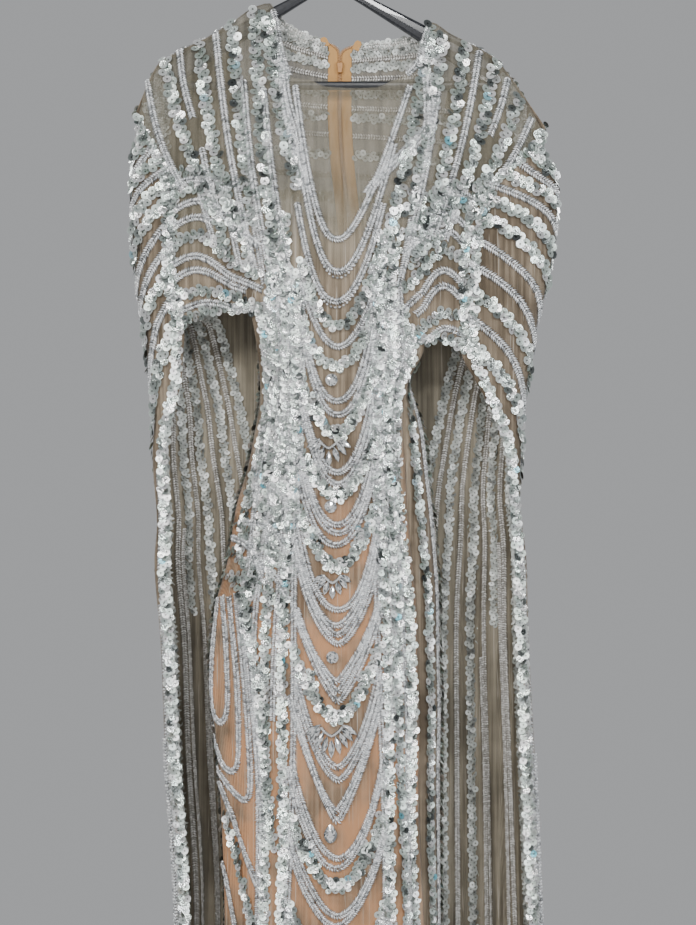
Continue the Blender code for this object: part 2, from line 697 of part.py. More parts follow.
def seat_of(tree, x, drop, reach):
    """The foremost place of a wall within reach of a stone's or slider's middle."""
    nearest = None
    for across in (-1, -0.5, 0, 0.5, 1):
        for up in (-1, -0.5, 0, 0.5, 1):
            start = Vector(((x + across * reach) * MM, -1.0, (-drop + up * reach) * MM))
            hit = tree.ray_cast(start, Vector((0, 1, 0)))[0]
            if hit is not None and (nearest is None or hit.y < nearest):
                nearest = hit.y
    return nearest


def make_stones(front_wall, glass):
    """Single cut stones and fans of long stones, each standing on the front wall."""
    tree = tree_of(front_wall)
    angles = np.linspace(0, 2 * math.pi, 12, endpoint=False)
    depths, sizes = np.array([0, 1.4, STONE_THICK]) * MM, (1.0, 1.0, 0.6)
    radius = ROUND_STONE_RADIUS * MM
    for name, x, drop in ROUND_STONES:
        outline = [(math.sin(a) * radius, math.cos(a) * radius) for a in angles]
        base = (x * MM, seat_of(tree, x, drop, ROUND_STONE_RADIUS) - GAP, -drop * MM)
        loft("round_stone_" + name, stone_ring(outline, base, depths, sizes), glass)
    x, drop = DROP_STONE
    wide, high = DROP_STONE_RADII
    outline = [(math.sin(a) * wide * MM * (1 - 0.45 * max(0, math.cos(a))), math.cos(a) * high * MM)
               for a in angles]
    base = (x * MM, seat_of(tree, x, drop, high) - GAP, -drop * MM)
    loft("drop_stone", stone_ring(outline, base, depths, sizes), glass)
    for name, x, drop, count, reach in FANS:
        make_fan(name, x, drop, count, reach, tree, glass)


def make_fan(name, x, drop, count, reach, tree, glass):
    """A fan: a curved setting whose lower edge carries a row of pointed stones."""
    inner, outer = [], []
    spread = math.radians(66)
    steps = 2 * count
    for i in range(steps + 1):
        turn = mix(-spread, spread, i / steps)
        tip = i % 2 == 1
        middle = 1 - abs(turn) / spread
        far = reach * (0.62 + 0.10 * middle) if tip else reach * 0.38
        outer.append((math.sin(turn) * far, -math.cos(turn) * far * (0.62 + 0.38 * middle)))
        near = reach * 0.24
        inner.append((math.sin(turn) * near, -math.cos(turn) * near * (0.62 + 0.38 * middle)))
    verts, faces = [], []
    seat = seat_of(tree, x, drop + reach * 0.35, reach * 0.5)
    for depth, size in ((0, 1.0), (STONE_THICK * 0.8, 0.9)):
        for ring in (inner, outer):
            for px, pz in ring:
                wall_y = seat - GAP - depth * MM
                verts.append(((x + px * size) * MM, wall_y, (-drop + pz * size) * MM))
    n = steps + 1
    for i in range(steps):
        a, b, c, d = i, i + 1, n + i + 1, n + i
        faces.append([a, b, c, d])
        faces.append([2 * n + d, 2 * n + c, 2 * n + b, 2 * n + a])
        faces.append([b, a, 2 * n + a, 2 * n + b])
        faces.append([d, c, 2 * n + c, 2 * n + d])
    for i, way in ((0, 1), (n - 1, -1)):
        ring = [i, n + i, 3 * n + i, 2 * n + i]
        faces.append(ring if way > 0 else ring[::-1])
    add_object("stone_fan_" + name, verts, faces, glass)


def main():
    clear_scene()
    net = material("net", (0.42, 0.33, 0.24), 0.8)
    tape = material("zip_tape", (0.55, 0.33, 0.16), 0.7)
    metal = material("zip_metal", (0.55, 0.35, 0.18), 0.35, 0.6)
    plastic = material("hanger_plastic", (0.012, 0.013, 0.016), 0.35)
    glass = material("stone", (0.8, 0.82, 0.85), 0.08)
    gown = make_gown(net)
    make_zip(gown, tape, metal)
    make_hanger(plastic)
    make_stones(gown["front"], glass)


main()
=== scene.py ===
"""Looks of the sequin performance dress on its hanger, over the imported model."""
import math

import bpy
import numpy as np
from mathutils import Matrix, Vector
from mathutils.bvhtree import BVHTree


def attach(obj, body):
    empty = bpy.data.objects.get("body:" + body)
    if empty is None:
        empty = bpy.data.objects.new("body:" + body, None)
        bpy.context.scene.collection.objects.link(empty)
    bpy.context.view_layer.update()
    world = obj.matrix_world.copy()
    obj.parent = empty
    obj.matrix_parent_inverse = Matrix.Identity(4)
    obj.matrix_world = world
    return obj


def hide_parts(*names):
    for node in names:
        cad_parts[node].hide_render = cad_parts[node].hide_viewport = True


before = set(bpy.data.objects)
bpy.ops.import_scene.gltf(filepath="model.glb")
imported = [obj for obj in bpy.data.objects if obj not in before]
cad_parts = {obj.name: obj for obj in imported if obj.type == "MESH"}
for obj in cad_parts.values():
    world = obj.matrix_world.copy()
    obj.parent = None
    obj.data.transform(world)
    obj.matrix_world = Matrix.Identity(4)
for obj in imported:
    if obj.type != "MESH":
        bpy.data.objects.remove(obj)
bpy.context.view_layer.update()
MM = 0.001
rng = np.random.default_rng(7)


def link(name, data):
    made = bpy.data.objects.new(name, data)
    bpy.context.scene.collection.objects.link(made)
    return made


def mesh_object(name, verts, faces, finish):
    mesh = bpy.data.meshes.new(name)
    mesh.from_pydata(verts, [], faces)
    mesh.materials.append(finish)
    return link(name, mesh)


def dress(made, node=None):
    """Put a piece on the root body, and hide the node it replaces where it has one."""
    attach(made, "root")
    if node:
        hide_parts(node)
    return made


# Camera, at the photograph's level view, framed on the upper two thirds of the gown
FRAME_HEIGHT = 1.0175
CAMERA_DISTANCE = 2.7
AIM = (0.019, -0.02, -0.600)
SENSOR = 24.0

camera = link("camera", bpy.data.cameras.new("camera"))
camera.data.sensor_fit = "VERTICAL"
camera.data.sensor_height = SENSOR
camera.data.lens = SENSOR * CAMERA_DISTANCE / FRAME_HEIGHT
camera.location = (AIM[0], AIM[1] - CAMERA_DISTANCE, AIM[2])
camera.rotation_euler = (math.pi / 2, 0, 0)
bpy.context.scene.camera = camera


class Finish:
    """A material, built up by calls that add shader nodes."""

    def __init__(self, name, **values):
        self.material = bpy.data.materials.new(name)
        self.material.use_nodes = True
        self.tree = self.material.node_tree
        self.shader = self.tree.nodes["Principled BSDF"]
        self.done(**values)

    def feed(self, into, value):
        """Link another node's output into a socket, or write a plain value there."""
        if hasattr(value, "links"):
            self.tree.links.new(value, into)
        else:
            into.default_value = value

    def fill(self, node, values):
        """Capitalised names are sockets, with _ for a space, and the others are settings."""
        for key, value in values.items():
            if key[0].isupper():
                self.feed(node.inputs[key.replace("_", " ")], value)
            else:
                setattr(node, key, value)
        return node

    def done(self, **values):
        self.fill(self.shader, values)
        return self.material

    def add(self, kind, **values):
        return self.fill(self.tree.nodes.new("ShaderNode" + kind), values)

    def place(self):
        return self.add("TexCoord").outputs["Object"]

    def noise(self, **values):
        return self.add("TexNoise", **values).outputs["Fac"]

    def bands(self, direction, **values):
        return self.add("TexWave", wave_type="BANDS", bands_direction=direction, **values).outputs["Fac"]

    def moved(self, vector, **values):
        return self.add("Mapping", Vector=vector, **values).outputs["Vector"]

    def spread(self, value, **values):
        return self.add("MapRange", Value=value, **values).outputs["Result"]

    def calc(self, operation, *values):
        node = self.add("Math", operation=operation)
        for number, value in enumerate(values):
            self.feed(node.inputs[number], value)
        return node.outputs[0]

    def blend(self, factor, first, second, kind="MIX"):
        node = self.add("Mix", data_type="RGBA", blend_type=kind)
        for number, value in ((0, factor), (6, first), (7, second)):
            self.feed(node.inputs[number], value)
        return node.outputs[2]

    def ramp(self, factor, *stops):
        """Each stop is a place and a colour, or a place and one number for a grey."""
        node = self.add("ValToRGB", Fac=factor)
        while len(node.color_ramp.elements) < len(stops):
            node.color_ramp.elements.new(0.5)
        for element, (place, colour) in zip(node.color_ramp.elements, stops):
            element.position = place
            element.color = (*map(float, np.broadcast_to(colour, 3)), 1)
        return node.outputs["Color"]

    def relief(self, height, strength, distance):
        node = self.add("Bump", Height=height, Strength=strength, Distance=distance)
        self.done(Normal=node.outputs["Normal"])


# Floor, world and lights
FLOOR_RADIUS = 1.3
FLOOR_HEIGHT = -1.66
LIGHTS_AIM = (0, 0, -0.55)
# Each light: x, y, z, size across, power and colour
LIGHTS = (
    (-1.3, -2.2, 0.5, 0.6, 34, (1.0, 0.98, 0.95)),
    (1.6, -2.0, 0.2, 0.5, 22, (0.95, 0.98, 1.0)),
    (0.3, -2.6, 0.9, 0.25, 22, (1.0, 1.0, 1.0)),
    (-0.5, -2.4, -1.3, 0.3, 8, (1.0, 0.99, 0.96)),
    (-0.5, -2.9, -0.2, 0.12, 5, (1.0, 1.0, 1.0)),
    (0.7, -2.9, -0.5, 0.12, 5, (1.0, 1.0, 1.0)),
    (-1.2, 1.9, 0.6, 0.8, 32, (1.0, 1.0, 1.0)),
    (1.4, 2.0, 0.3, 0.8, 28, (1.0, 1.0, 1.0)),
)


def make_stage():
    angles = [k * math.pi / 32 for k in range(64)]
    rim = [(FLOOR_RADIUS * math.cos(a), FLOOR_RADIUS * math.sin(a), FLOOR_HEIGHT) for a in angles]
    pale = Finish("floor", Roughness=0.9)
    tone = pale.ramp(pale.noise(Scale=3.0), (0.3, 0.50), (0.7, (0.53, 0.53, 0.525)))
    mesh_object("floor", rim, [tuple(range(64))], pale.done(Base_Color=tone))
    world = bpy.data.worlds.new("world")
    world.use_nodes = True
    bpy.context.scene.world = world
    background = world.node_tree.nodes["Background"].inputs
    background["Color"].default_value = (0.62, 0.63, 0.645, 1)
    background["Strength"].default_value = 0.62


def make_lights():
    for number, (x, y, z, size, power, tint) in enumerate(LIGHTS):
        lamp = bpy.data.lights.new(f"softbox_{number}", "AREA")
        lamp.energy = power
        lamp.size = size
        lamp.color = tint
        made = link(lamp.name, lamp)
        made.location = (x, y, z)
        way = Vector(LIGHTS_AIM) - made.location
        made.rotation_euler = way.to_track_quat("-Z", "Y").to_euler()


make_stage()
make_lights()

# Sizes of the gown's form, as in the solids. Drop is the distance below the hook, in mm.
HEM_DROP = 1600.0
CAPE_HEM_DROP = 1592.0
ARCH_LEVEL = 5.0
BODY_LEFT_F = 0.245
BODY_RIGHT_F = 0.866
TUBE_STARTS_OVER = 0.1
BACK_SPREAD = {"left": 1.0, "right": 1.4}
CAPE_FOLD_COUNT = 3.5
SKIRT_FOLD_COUNT = 9
ARM_LIP = 8.0
ARM_LIP_OVER = 0.03
BACK_ARCH_DROP = 446.0
ZIP_TOP_DROP = 136.0
ZIP_HALF_GAP = 0.8


class Table:
    """Rows of sizes with named columns, read smoothly along the first column."""

    def __init__(self, columns, rows):
        self.names = columns.split()
        self.rows = np.array(rows, float)

    def at(self, names, key):
        columns = [self.rows[:, self.names.index(name)] for name in names.split()]
        values = [smooth(self.rows[:, 0], column, key) for column in columns]
        return values if len(values) > 1 else values[0]


def smooth(xs, ys, at):
    """Read a smooth curve through the points, with no overshoot between them."""
    step = np.diff(xs)
    rise = np.diff(ys) / step
    before, after = rise[:-1], rise[1:]
    same = before * after > 0
    slope = np.empty(len(xs))
    slope[1:-1] = np.where(same, 2 * before * after / np.where(same, before + after, 1), 0)
    slope[0], slope[-1] = rise[0], rise[-1]
    at = np.clip(at, xs[0], xs[-1])
    i = np.clip(np.searchsorted(xs, at, side="right") - 1, 0, len(xs) - 2)
    t = (at - xs[i]) / step[i]
    start = ys[i] * (1 + 2 * t) + slope[i] * step[i] * t
    end = ys[i + 1] * (3 - 2 * t) + slope[i + 1] * step[i] * (t - 1)
    return start * (1 - t) ** 2 + end * t ** 2


# Depth of each layer in front of or behind the hanger's plane.
DEPTH = Table("drop front back cape", (
    (90, 8, 8, 12), (190, 22, 22, 28), (226, 34, 25, 33), (256, 42, 28, 37), (330, 56, 33, 43),
    (380, 58, 34, 45), (436, 53, 35, 47), (565, 43, 34, 50), (707, 51, 42, 60), (823, 58, 50, 70),
    (1109, 66, 59, 84), (1600, 95, 84, 118),
))

# The gown's tube below the arches: its two sides, the seam in front of its right side, and
# the centre back.
BODY = Table("drop left seam right zip", (
    (436, -87, 103, 112, 30), (471, -81, 103, 108, 24), (520, -78, 82, 103, 16), (565, -84, 79, 103, 10),
    (605, -92, 82, 106, 4), (650, -105, 84, 112, 0), (707, -114, 89, 117, -4), (765, -129, 94, 120, -7),
    (823, -134, 95, 121, -8), (880, -130, 97, 122, -7), (940, -124, 96, 121, -5), (1109, -117, 102, 121, 0),
    (1600, -152, 126, 152, 0),
))

# The top edge of the gown's front: shoulder, neck point, sheer scoop, neck point, shoulder.
TOP_EDGE = Table("f x drop depth", (
    (0, -206, 184, 0), (0.049, -190, 157, 0), (0.098, -166, 143, 0), (0.147, -139, 130, 0),
    (0.196, -109, 112, 0), (0.245, -85, 96, 0), (0.289, -67, 91, 0), (0.3, -64, 97, 8),
    (0.334, -54, 148, 11), (0.378, -43, 176, 14), (0.422, -24, 179, 18), (0.467, -6, 187, 21),
    (0.556, 32, 189, 22), (0.6, 50, 188, 21), (0.644, 66, 181, 18), (0.689, 80, 174, 15),
    (0.733, 96, 158, 11), (0.778, 103, 132, 9.5), (0.811, 107, 119, 8), (0.822, 110, 112, 0),
    (0.866, 128, 123, 0), (0.911, 150, 134, 0), (0.955, 180, 151, 0), (1, 212, 190, 0),
))

# The yoke's outer ends, where the cape sleeves are sewn on, and how far forward they lie.
YOKE = Table("level left left_drop left_depth right right_drop right_depth", (
    (0, -206, 184, 0, 212, 190, 0), (1, -213, 218, 7, 235, 235, 7), (2, -190, 262, 12, 192, 278, 12),
    (3, -170, 300, 22, 153, 318, 22), (4, -173, 375, 27, 142, 393, 27), (5, -162, 450, 25, 144, 478, 25),
))

# How much the bottom of the yoke rises over each arm.
ARCH = Table("f rise", (
    (0, 0), (0.11, 17), (0.245, 21), (0.55, 12), (0.866, 4), (0.93, 9), (1, 0),
))

# The back's armholes, level by level as on the yoke.
ARMHOLE = Table("level left left_drop left_depth right right_drop right_depth", (
    (0, -113, 116, 0, 150, 134, 0), (1, -108, 190, 9, 136, 205, 9), (2, -105, 250, 10, 130, 268, 10),
    (3, -100, 310, 6, 122, 330, 6), (4, -93, 380, -8, 112, 400, -8), (5, -87, 436, -30, 103, 474, -30),
))
BACK_LEVELS = Table("level drop", ((0, 136), (1, 200), (2, 255), (3, 315), (4, 380), (5, 446)))

# The back's top edge from the shoulder's end to the zip, which is open at the top.
BACK_TOP = {
    "left": Table("h x drop depth", (
        (0, -113, 116, 0), (0.25, -85, 96, 0), (0.4, -67, 91, 0), (0.43, -64, 98, 9), (0.5, -58, 106, 12),
        (0.7, -36, 121, 16), (0.86, -16, 130, 19), (1, -4, 135, 21),
    )),
    "right": Table("h x drop depth", (
        (0, 150, 134, 0), (0.2, 132, 125, 0), (0.4, 110, 112, 0), (0.43, 106, 119, 9), (0.5, 98, 126, 12),
        (0.7, 66, 132, 16), (0.88, 39, 136, 19), (1, 27, 137, 21),
    )),
}
ZIP_LINE = Table("drop left right", (
    (136, -4, 27), (146, 4, 17), (155, 9.2, 10.8), (200, 8.7, 10.3), (255, 11.2, 12.8), (316, 17.7, 19.3),
    (380, 24.2, 25.8), (446, 25.2, 26.8),
))

# The capes: the fold at the outer side, the front edge below the arch, and the free edge
# at the back.
CAPE = {
    "left": Table("drop fold front inner", (
        (190, -209, -162, -104), (256, -219, -162, -98), (328, -221, -162, -86), (430, -212, -162, -74),
        (451, -208, -160, -71), (480, -204, -163, -68), (510, -201, -165, -66), (551, -196, -178, -63),
        (592, -198, -184, -60), (671, -193, -181, -56), (707, -196, -182, -55), (800, -189, -177, -53),
        (925, -184, -171, -51), (1109, -173, -160, -48), (1600, -186, -172, -42),
    )),
    "right": Table("drop fold front inner", (
        (190, 212, 144, 130), (263, 247, 144, 118), (316, 251, 144, 110), (393, 242, 144, 101),
        (449, 228, 144, 95), (478, 224, 143, 92), (507, 219, 158, 90), (547, 213, 180, 87),
        (589, 211, 197, 85), (640, 209, 201, 82), (707, 217, 206, 80), (782, 219, 209, 78),
        (942, 227, 215, 75), (1109, 234, 222, 73), (1600, 252, 238, 70),
    )),
}
CAPE_INNER_DROP = Table("level drop", ((1, 118), (2, 190), (3, 252), (4, 330), (5, 436)))
FOLDS = Table("drop cape skirt", ((430, 0, 0), (600, 3, 0.5), (823, 5, 2), (1109, 8, 4), (1600, 13, 9)))


def point(x, drop, depth):
    """Turn a place on the front view and its depth into a point, in metres."""
    return np.stack(np.broadcast_arrays(x, depth, -np.asarray(drop)), axis=-1) * MM


def mix(a, b, t):
    return a + (b - a) * t


def ease(t):
    t = np.clip(t, 0, 1)
    return t * t * (3 - 2 * t)


def arm_lip(t):
    """Carry the cloth out over the hanger's arm just below the shoulder line."""
    return ARM_LIP * (1 - np.exp(-t / ARM_LIP_OVER)) * (1 - t)


def tube(drop, angle):
    """A place on the gown's tube; the angle runs from its left side across the front."""
    left, right = BODY.at("left right", drop)
    centre, half = (left + right) / 2, (right - left) / 2
    reach = np.where(np.sin(angle) > 0, *DEPTH.at("front back", drop))
    wave = FOLDS.at("skirt", drop) * np.sin(SKIRT_FOLD_COUNT * angle) * np.sin(angle) ** 2
    return centre - half * np.cos(angle), -(reach + wave) * np.sin(angle)


def angle_at(drop, x):
    """The tube's angle in front at a given x."""
    left, right = BODY.at("left right", drop)
    return np.arccos(np.clip(((left + right) / 2 - x) / ((right - left) / 2), -1, 1))


def yoke(f, level):
    """The gown's front above the arches, as x, drop and depth."""
    left, right = YOKE.at("left right", level)
    x = mix(left, right, f)
    drop = mix(*YOKE.at("left_drop right_drop", level), f)
    drop = drop - ARCH.at("rise", f) * ease(level - ARCH_LEVEL + 1)
    side = mix(*YOKE.at("left_depth right_depth", level), f)
    depth = mix(side, DEPTH.at("front", drop), 1 - np.abs(2 * f - 1) ** 2.2)
    t = np.clip(level, 0, 1)
    lip = arm_lip(t) * np.clip(np.minimum(f, 1 - f) / 0.05, 0, 1)
    x = np.where(level < 1, mix(TOP_EDGE.at("x", f), mix(-213, 235, f), t), x)
    top_drop = mix(TOP_EDGE.at("drop", f), mix(218, 235, f), t)
    drop = np.where(level < 1, top_drop, drop)
    top_depth = mix(TOP_EDGE.at("depth", f), depth, t)
    top_depth = np.maximum(top_depth, np.minimum(lip + depth * t, top_depth + lip))
    return x, drop, np.where(level < 1, top_depth, depth)


def front(f, level):
    """The gown's whole front. Levels past the arches run evenly down to the hem."""
    f, level = np.broadcast_arrays(np.asarray(f, float), np.asarray(level, float))
    x, drop, depth = yoke(f, np.minimum(level, ARCH_LEVEL))
    down = np.clip(level - ARCH_LEVEL, 0, 1)
    across = np.clip((f - BODY_LEFT_F) / (BODY_RIGHT_F - BODY_LEFT_F), 0, 1)
    low = mix(drop, HEM_DROP, down)
    flat = mix(*BODY.at("left seam", low), across)
    flat = flat - mix(*BODY.at("left seam", drop), across) + x
    round_x, round_y = tube(low, across * angle_at(low, BODY.at("seam", low)))
    turn = ease(down / TUBE_STARTS_OVER)
    x = np.where(down > 0, mix(flat, round_x, turn), x)
    sheer = depth + DEPTH.at("front", low) - DEPTH.at("front", drop)
    depth = np.where(down > 0, mix(sheer, -round_y, turn), depth)
    return point(x, low, -depth)


def back(side, h, level):
    """Half of the gown's back, from the armhole or side seam (h 0) to the zip (h 1)."""
    h, level = np.broadcast_arrays(np.asarray(h, float), np.asarray(level, float))
    up = np.minimum(level, ARCH_LEVEL)
    down = np.clip(level - ARCH_LEVEL, 0, 1)
    edge_f = BODY_LEFT_F if side == "left" else BODY_RIGHT_F
    seam = front(edge_f, np.maximum(level, ARCH_LEVEL)) / MM
    armhole = ARMHOLE.at(f"{side} {side}_depth {side}_drop", up)
    below = level >= ARCH_LEVEL
    edge_x, edge_y, edge_drop = [np.where(below, seam[..., k] * (1, 1, -1)[k], armhole[k]) for k in range(3)]
    centre_drop = np.where(below, mix(BACK_ARCH_DROP, HEM_DROP, down), BACK_LEVELS.at("drop", up))
    drop = mix(edge_drop, centre_drop, h)
    gap = -ZIP_HALF_GAP if side == "left" else ZIP_HALF_GAP
    zip_x = np.where(drop < BACK_ARCH_DROP, ZIP_LINE.at(side, drop), BODY.at("zip", drop) + gap)
    x = mix(edge_x, zip_x, h ** BACK_SPREAD[side])
    y = mix(edge_y, DEPTH.at("back", drop), 1 - (1 - h) ** 2)
    if side == "left":
        angle = -h * angle_at(drop, zip_x)
        edge_angle = 0 * h
    else:
        edge_angle = angle_at(drop, BODY.at("seam", drop))
        angle = mix(edge_angle, 2 * math.pi - angle_at(drop, zip_x), h)
    round_x, round_y = tube(drop, angle)
    start_x, start_y = tube(drop, edge_angle)
    fade = (1 - h) ** 2
    round_x = round_x + (edge_x - start_x) * fade
    round_y = round_y + (edge_y - start_y) * fade
    turn = ease(down / TUBE_STARTS_OVER)
    x, y = mix(x, round_x, turn), mix(y, round_y, turn)
    top, t = BACK_TOP[side], np.clip(level, 0, 1)
    shoulder = np.clip((0.46 - h) / 0.05, 0, 1)
    closing = (zip_x - ZIP_LINE.at(side, ZIP_TOP_DROP)) * ease((h - 0.55) / 0.33)
    x = np.where(level < 1, mix(top.at("x", h) + closing, x, t), x)
    top_y = np.maximum(mix(top.at("depth", h), y, t), arm_lip(t) * shoulder + y * t * shoulder)
    y = np.where(level < 1, top_y, y)
    drop = np.where(level < 1, mix(top.at("drop", h), drop, t), drop)
    return point(x, drop, y)


def cape(side, u, level):
    """A cape: u 0 to 1 from its front edge to the outer fold, 1 to 2 on to its back edge."""
    u, level = np.broadcast_arrays(np.asarray(u, float), np.asarray(level, float))
    sign = -1 if side == "left" else 1
    sizes = CAPE[side]
    up, down = np.minimum(level, ARCH_LEVEL), np.clip(level - ARCH_LEVEL, 0, 1)
    edge_drop = mix(YOKE.at(side + "_drop", up), CAPE_HEM_DROP, down)
    edge_x = np.where(level > ARCH_LEVEL, sizes.at("front", edge_drop), YOKE.at(side, up))
    edge_y = -YOKE.at(side + "_depth", up) + ease(down / 0.12) * 17
    fold_drop = np.maximum(edge_drop - 7 * ease(2 - level), 0)
    fold_x = sizes.at("fold", fold_drop)
    fold_x = mix(fold_x, YOKE.at(side, up) + sign * 2.5, ease(2 - level) * (level < 2))
    fold_y = mix(0.0, 4.0, ease(level - 1))
    near = np.clip(u, 0, 1)
    x = mix(edge_x, fold_x, np.sin(near * math.pi / 2))
    y = mix(edge_y, fold_y, 1 - np.cos(near * math.pi / 2))
    drop = mix(edge_drop, fold_drop, near)
    s = np.clip(u - 1, 0, 1)
    inner_drop = mix(CAPE_INNER_DROP.at("drop", up), CAPE_HEM_DROP, down)
    back_drop = mix(fold_drop, inner_drop, s)
    back_x = mix(fold_x, sizes.at("inner", back_drop), s ** 1.25)
    rise = np.sqrt(1 - (1 - np.clip(s / 0.2, 0, 1)) ** 2)
    wave = FOLDS.at("cape", back_drop) * np.sin(2 * math.pi * CAPE_FOLD_COUNT * s) * ease(s / 0.15)
    back_y = mix(fold_y, DEPTH.at("cape", back_drop) + wave, rise)
    # The top row follows the shoulder line, and the cloth then passes behind the arm.
    f_top = mix(0.0, 0.178, s) if side == "left" else mix(1.0, 0.925, s)
    t = np.clip(level - 1, 0, 1)
    start = ease(s / 0.22)
    places = []
    for here, fold, top, low, lip in ((x, fold_x, TOP_EDGE.at("x", f_top), back_x, 0),
                                      (drop, fold_drop, TOP_EDGE.at("drop", f_top), back_drop, 0),
                                      (y, fold_y, 0.0, back_y, arm_lip(t) * start)):
        low = np.where(level < 2, mix(mix(fold, top, start), low, t) + lip, low)
        places.append(np.where(u <= 1, here, low))
    return point(*places)


# Panels: the cloth as fine grids, with the folds that hang in it
def unit(vectors):
    return vectors / (np.linalg.norm(vectors, axis=-1, keepdims=True) + 1e-12)


def grid_normals(grid):
    return unit(np.cross(np.gradient(grid, axis=0), np.gradient(grid, axis=1)))


class Panel:
    """A sheet sampled on a grid, which gives its place and normal anywhere on it."""

    def __init__(self, grid, levels, across, sample, facing):
        """The normal at the sample's row and column points to the side that facing has in y."""
        self.grid, self.levels, self.across = grid, levels, across
        self.normal = grid_normals(grid)
        if self.normal[sample][1] * facing < 0:
            self.normal = -self.normal
        self.keep = np.ones((len(levels) - 1, len(across) - 1), bool)

    def drops(self):
        return -self.grid[..., 2] / MM

    def lift(self, heights):
        """Move the sheet along its normals by heights in mm."""
        self.grid = self.grid + self.normal * heights[..., None] * MM
        normal = grid_normals(self.grid)
        self.normal = normal * np.sign(np.sum(self.normal * normal))

    def quads(self):
        """Corner numbers of the kept faces."""
        rows, cols = self.grid.shape[:2]
        numbers = np.arange(rows * cols).reshape(rows, cols)
        corners = (numbers[:-1, :-1], numbers[1:, :-1], numbers[1:, 1:], numbers[:-1, 1:])
        return np.stack(corners, axis=-1)[self.keep].reshape(-1, 4)

    def at(self, across, level):
        """Places and normals at rows of across values and levels."""
        across, level = np.broadcast_arrays(across, level)
        i = np.interp(level, self.levels, np.arange(len(self.levels)))
        j = np.interp(across, self.across, np.arange(len(self.across)))
        i0 = np.clip(i.astype(int), 0, len(self.levels) - 2)
        j0 = np.clip(j.astype(int), 0, len(self.across) - 2)
        a, b = (i - i0)[:, None], (j - j0)[:, None]
        out = []
        for values in (self.grid, self.normal):
            top = values[i0, j0] * (1 - b) + values[i0, j0 + 1] * b
            low = values[i0 + 1, j0] * (1 - b) + values[i0 + 1, j0 + 1] * b
            out.append(top * (1 - a) + low * a)
        return out[0], unit(out[1])


def bump(value, middle, width):
    return np.exp(-((value - middle) / width) ** 2)


def steps(*runs):
    """Rising values in runs, each with its start, end and number of values."""
    return np.unique(np.concatenate([np.linspace(*run) for run in runs]))


def weave_map(mesh, verts, faces, slant):
    """The places of the threads for each corner of the faces, in metres."""
    flat = np.stack((verts[:, 0] + slant * verts[:, 1], verts[:, 2]), axis=-1)[np.ravel(faces)]
    mesh.uv_layers.new(name="weave").data.foreach_set("uv", flat.ravel())


def cloth_object(name, panel, finish, thick=0.7):
    """A thin shell on the panel, its outer face on the panel's grid."""
    used, quads = np.unique(panel.quads(), return_inverse=True)
    quads = quads.reshape(-1, 4)
    verts = panel.grid.reshape(-1, 3)[used]
    normal = panel.normal.reshape(-1, 3)[used]
    p = verts[quads]
    face = np.cross(p[:, 1] - p[:, 0], p[:, 2] - p[:, 0])
    if np.sum(face * normal[quads[:, 0]]) < 0:
        quads = quads[:, ::-1]
    made = mesh_object(name, verts.tolist(), quads.tolist(), finish)
    made.data.shade_smooth()
    shell = made.modifiers.new("thickness", "SOLIDIFY")
    shell.thickness = thick * MM
    shell.offset = -1
    weave_map(made.data, verts, quads, 0.6)
    return made


# Soft folds of the front: where across, from which drop to which, how wide and how deep
FRONT_FOLDS = Table("f top bottom width depth", (
    (0.3, 700, 1600, 0.022, 2.2), (0.372, 860, 1600, 0.016, -1.8), (0.42, 640, 1500, 0.018, 1.6),
    (0.48, 620, 1300, 0.014, -1.6), (0.52, 880, 1600, 0.02, 2.4), (0.566, 600, 1250, 0.013, 1.5),
    (0.6, 700, 1600, 0.018, -2.2), (0.662, 900, 1600, 0.02, 2.6), (0.735, 680, 1600, 0.016, -2),
    (0.8, 560, 1600, 0.014, 2.4), (0.835, 500, 1600, 0.01, -2.6), (0.852, 520, 1600, 0.008, 2.2),
))
# Drag lines that cross the front: drop at the middle, tilt, length across and depth
FRONT_DRAGS = Table("drop f tilt reach width depth", (
    (300, 0.5, 10, 0.16, 9, -1.1), (452, 0.52, -18, 0.1, 7, 1), (498, 0.47, 22, 0.12, 8, -1.2),
    (560, 0.5, -14, 0.14, 9, 1.2), (668, 0.42, 30, 0.12, 10, -1.2), (700, 0.62, -26, 0.12, 8, 1),
    (1180, 0.55, 16, 0.2, 16, -1.4), (1360, 0.45, -20, 0.22, 18, 1.6),
))


def front_heights(f, drop):
    total = np.zeros(np.broadcast(f, drop).shape)
    for middle, top, bottom, width, depth in FRONT_FOLDS.rows:
        along = ease((drop - top) / 160) * ease((bottom + 60 - drop) / 120)
        sway = 0.006 * np.sin(drop / 97 + middle * 40)
        total += depth * bump(f, middle + sway, width) * along
    for middle, at, tilt, reach, width, depth in FRONT_DRAGS.rows:
        line = middle + tilt * (f - at) / reach
        total += depth * bump(drop, line, width) * bump(f, at, reach)
    return total


NECK_CORNERS = (0.289, 0.300, 0.811, 0.822)


def make_front():
    runs = steps((0, BODY_LEFT_F, 26), (BODY_LEFT_F, BODY_RIGHT_F, 84), (BODY_RIGHT_F, 1, 19))
    f = np.unique(np.round(np.append(runs, NECK_CORNERS), 6))
    levels = steps((0, 1, 22), (1, 5, 56), (5, 6, 118))
    panel = Panel(front(f, levels[:, None]), levels, f, (100, 60), -1)
    panel.lift(front_heights(f, panel.drops()))
    wing = (f[:-1] < BODY_LEFT_F - 1e-4) | (f[1:] > BODY_RIGHT_F + 1e-4)
    panel.keep[np.ix_(levels[:-1] >= ARCH_LEVEL - 1e-6, wing)] = False
    return panel


def fold_heights(across, drop, folds, shift, sway, wave, phase, fade):
    """Upright folds that sway a little. Those behind the arm are shifted too."""
    total = np.zeros(drop.shape)
    for middle, top, width, depth in folds:
        line = middle + shift * (middle > 1.15) + sway * np.sin(drop / wave + middle * phase)
        total += depth * bump(across, line, width) * ease((drop - top) / fade)
    return total


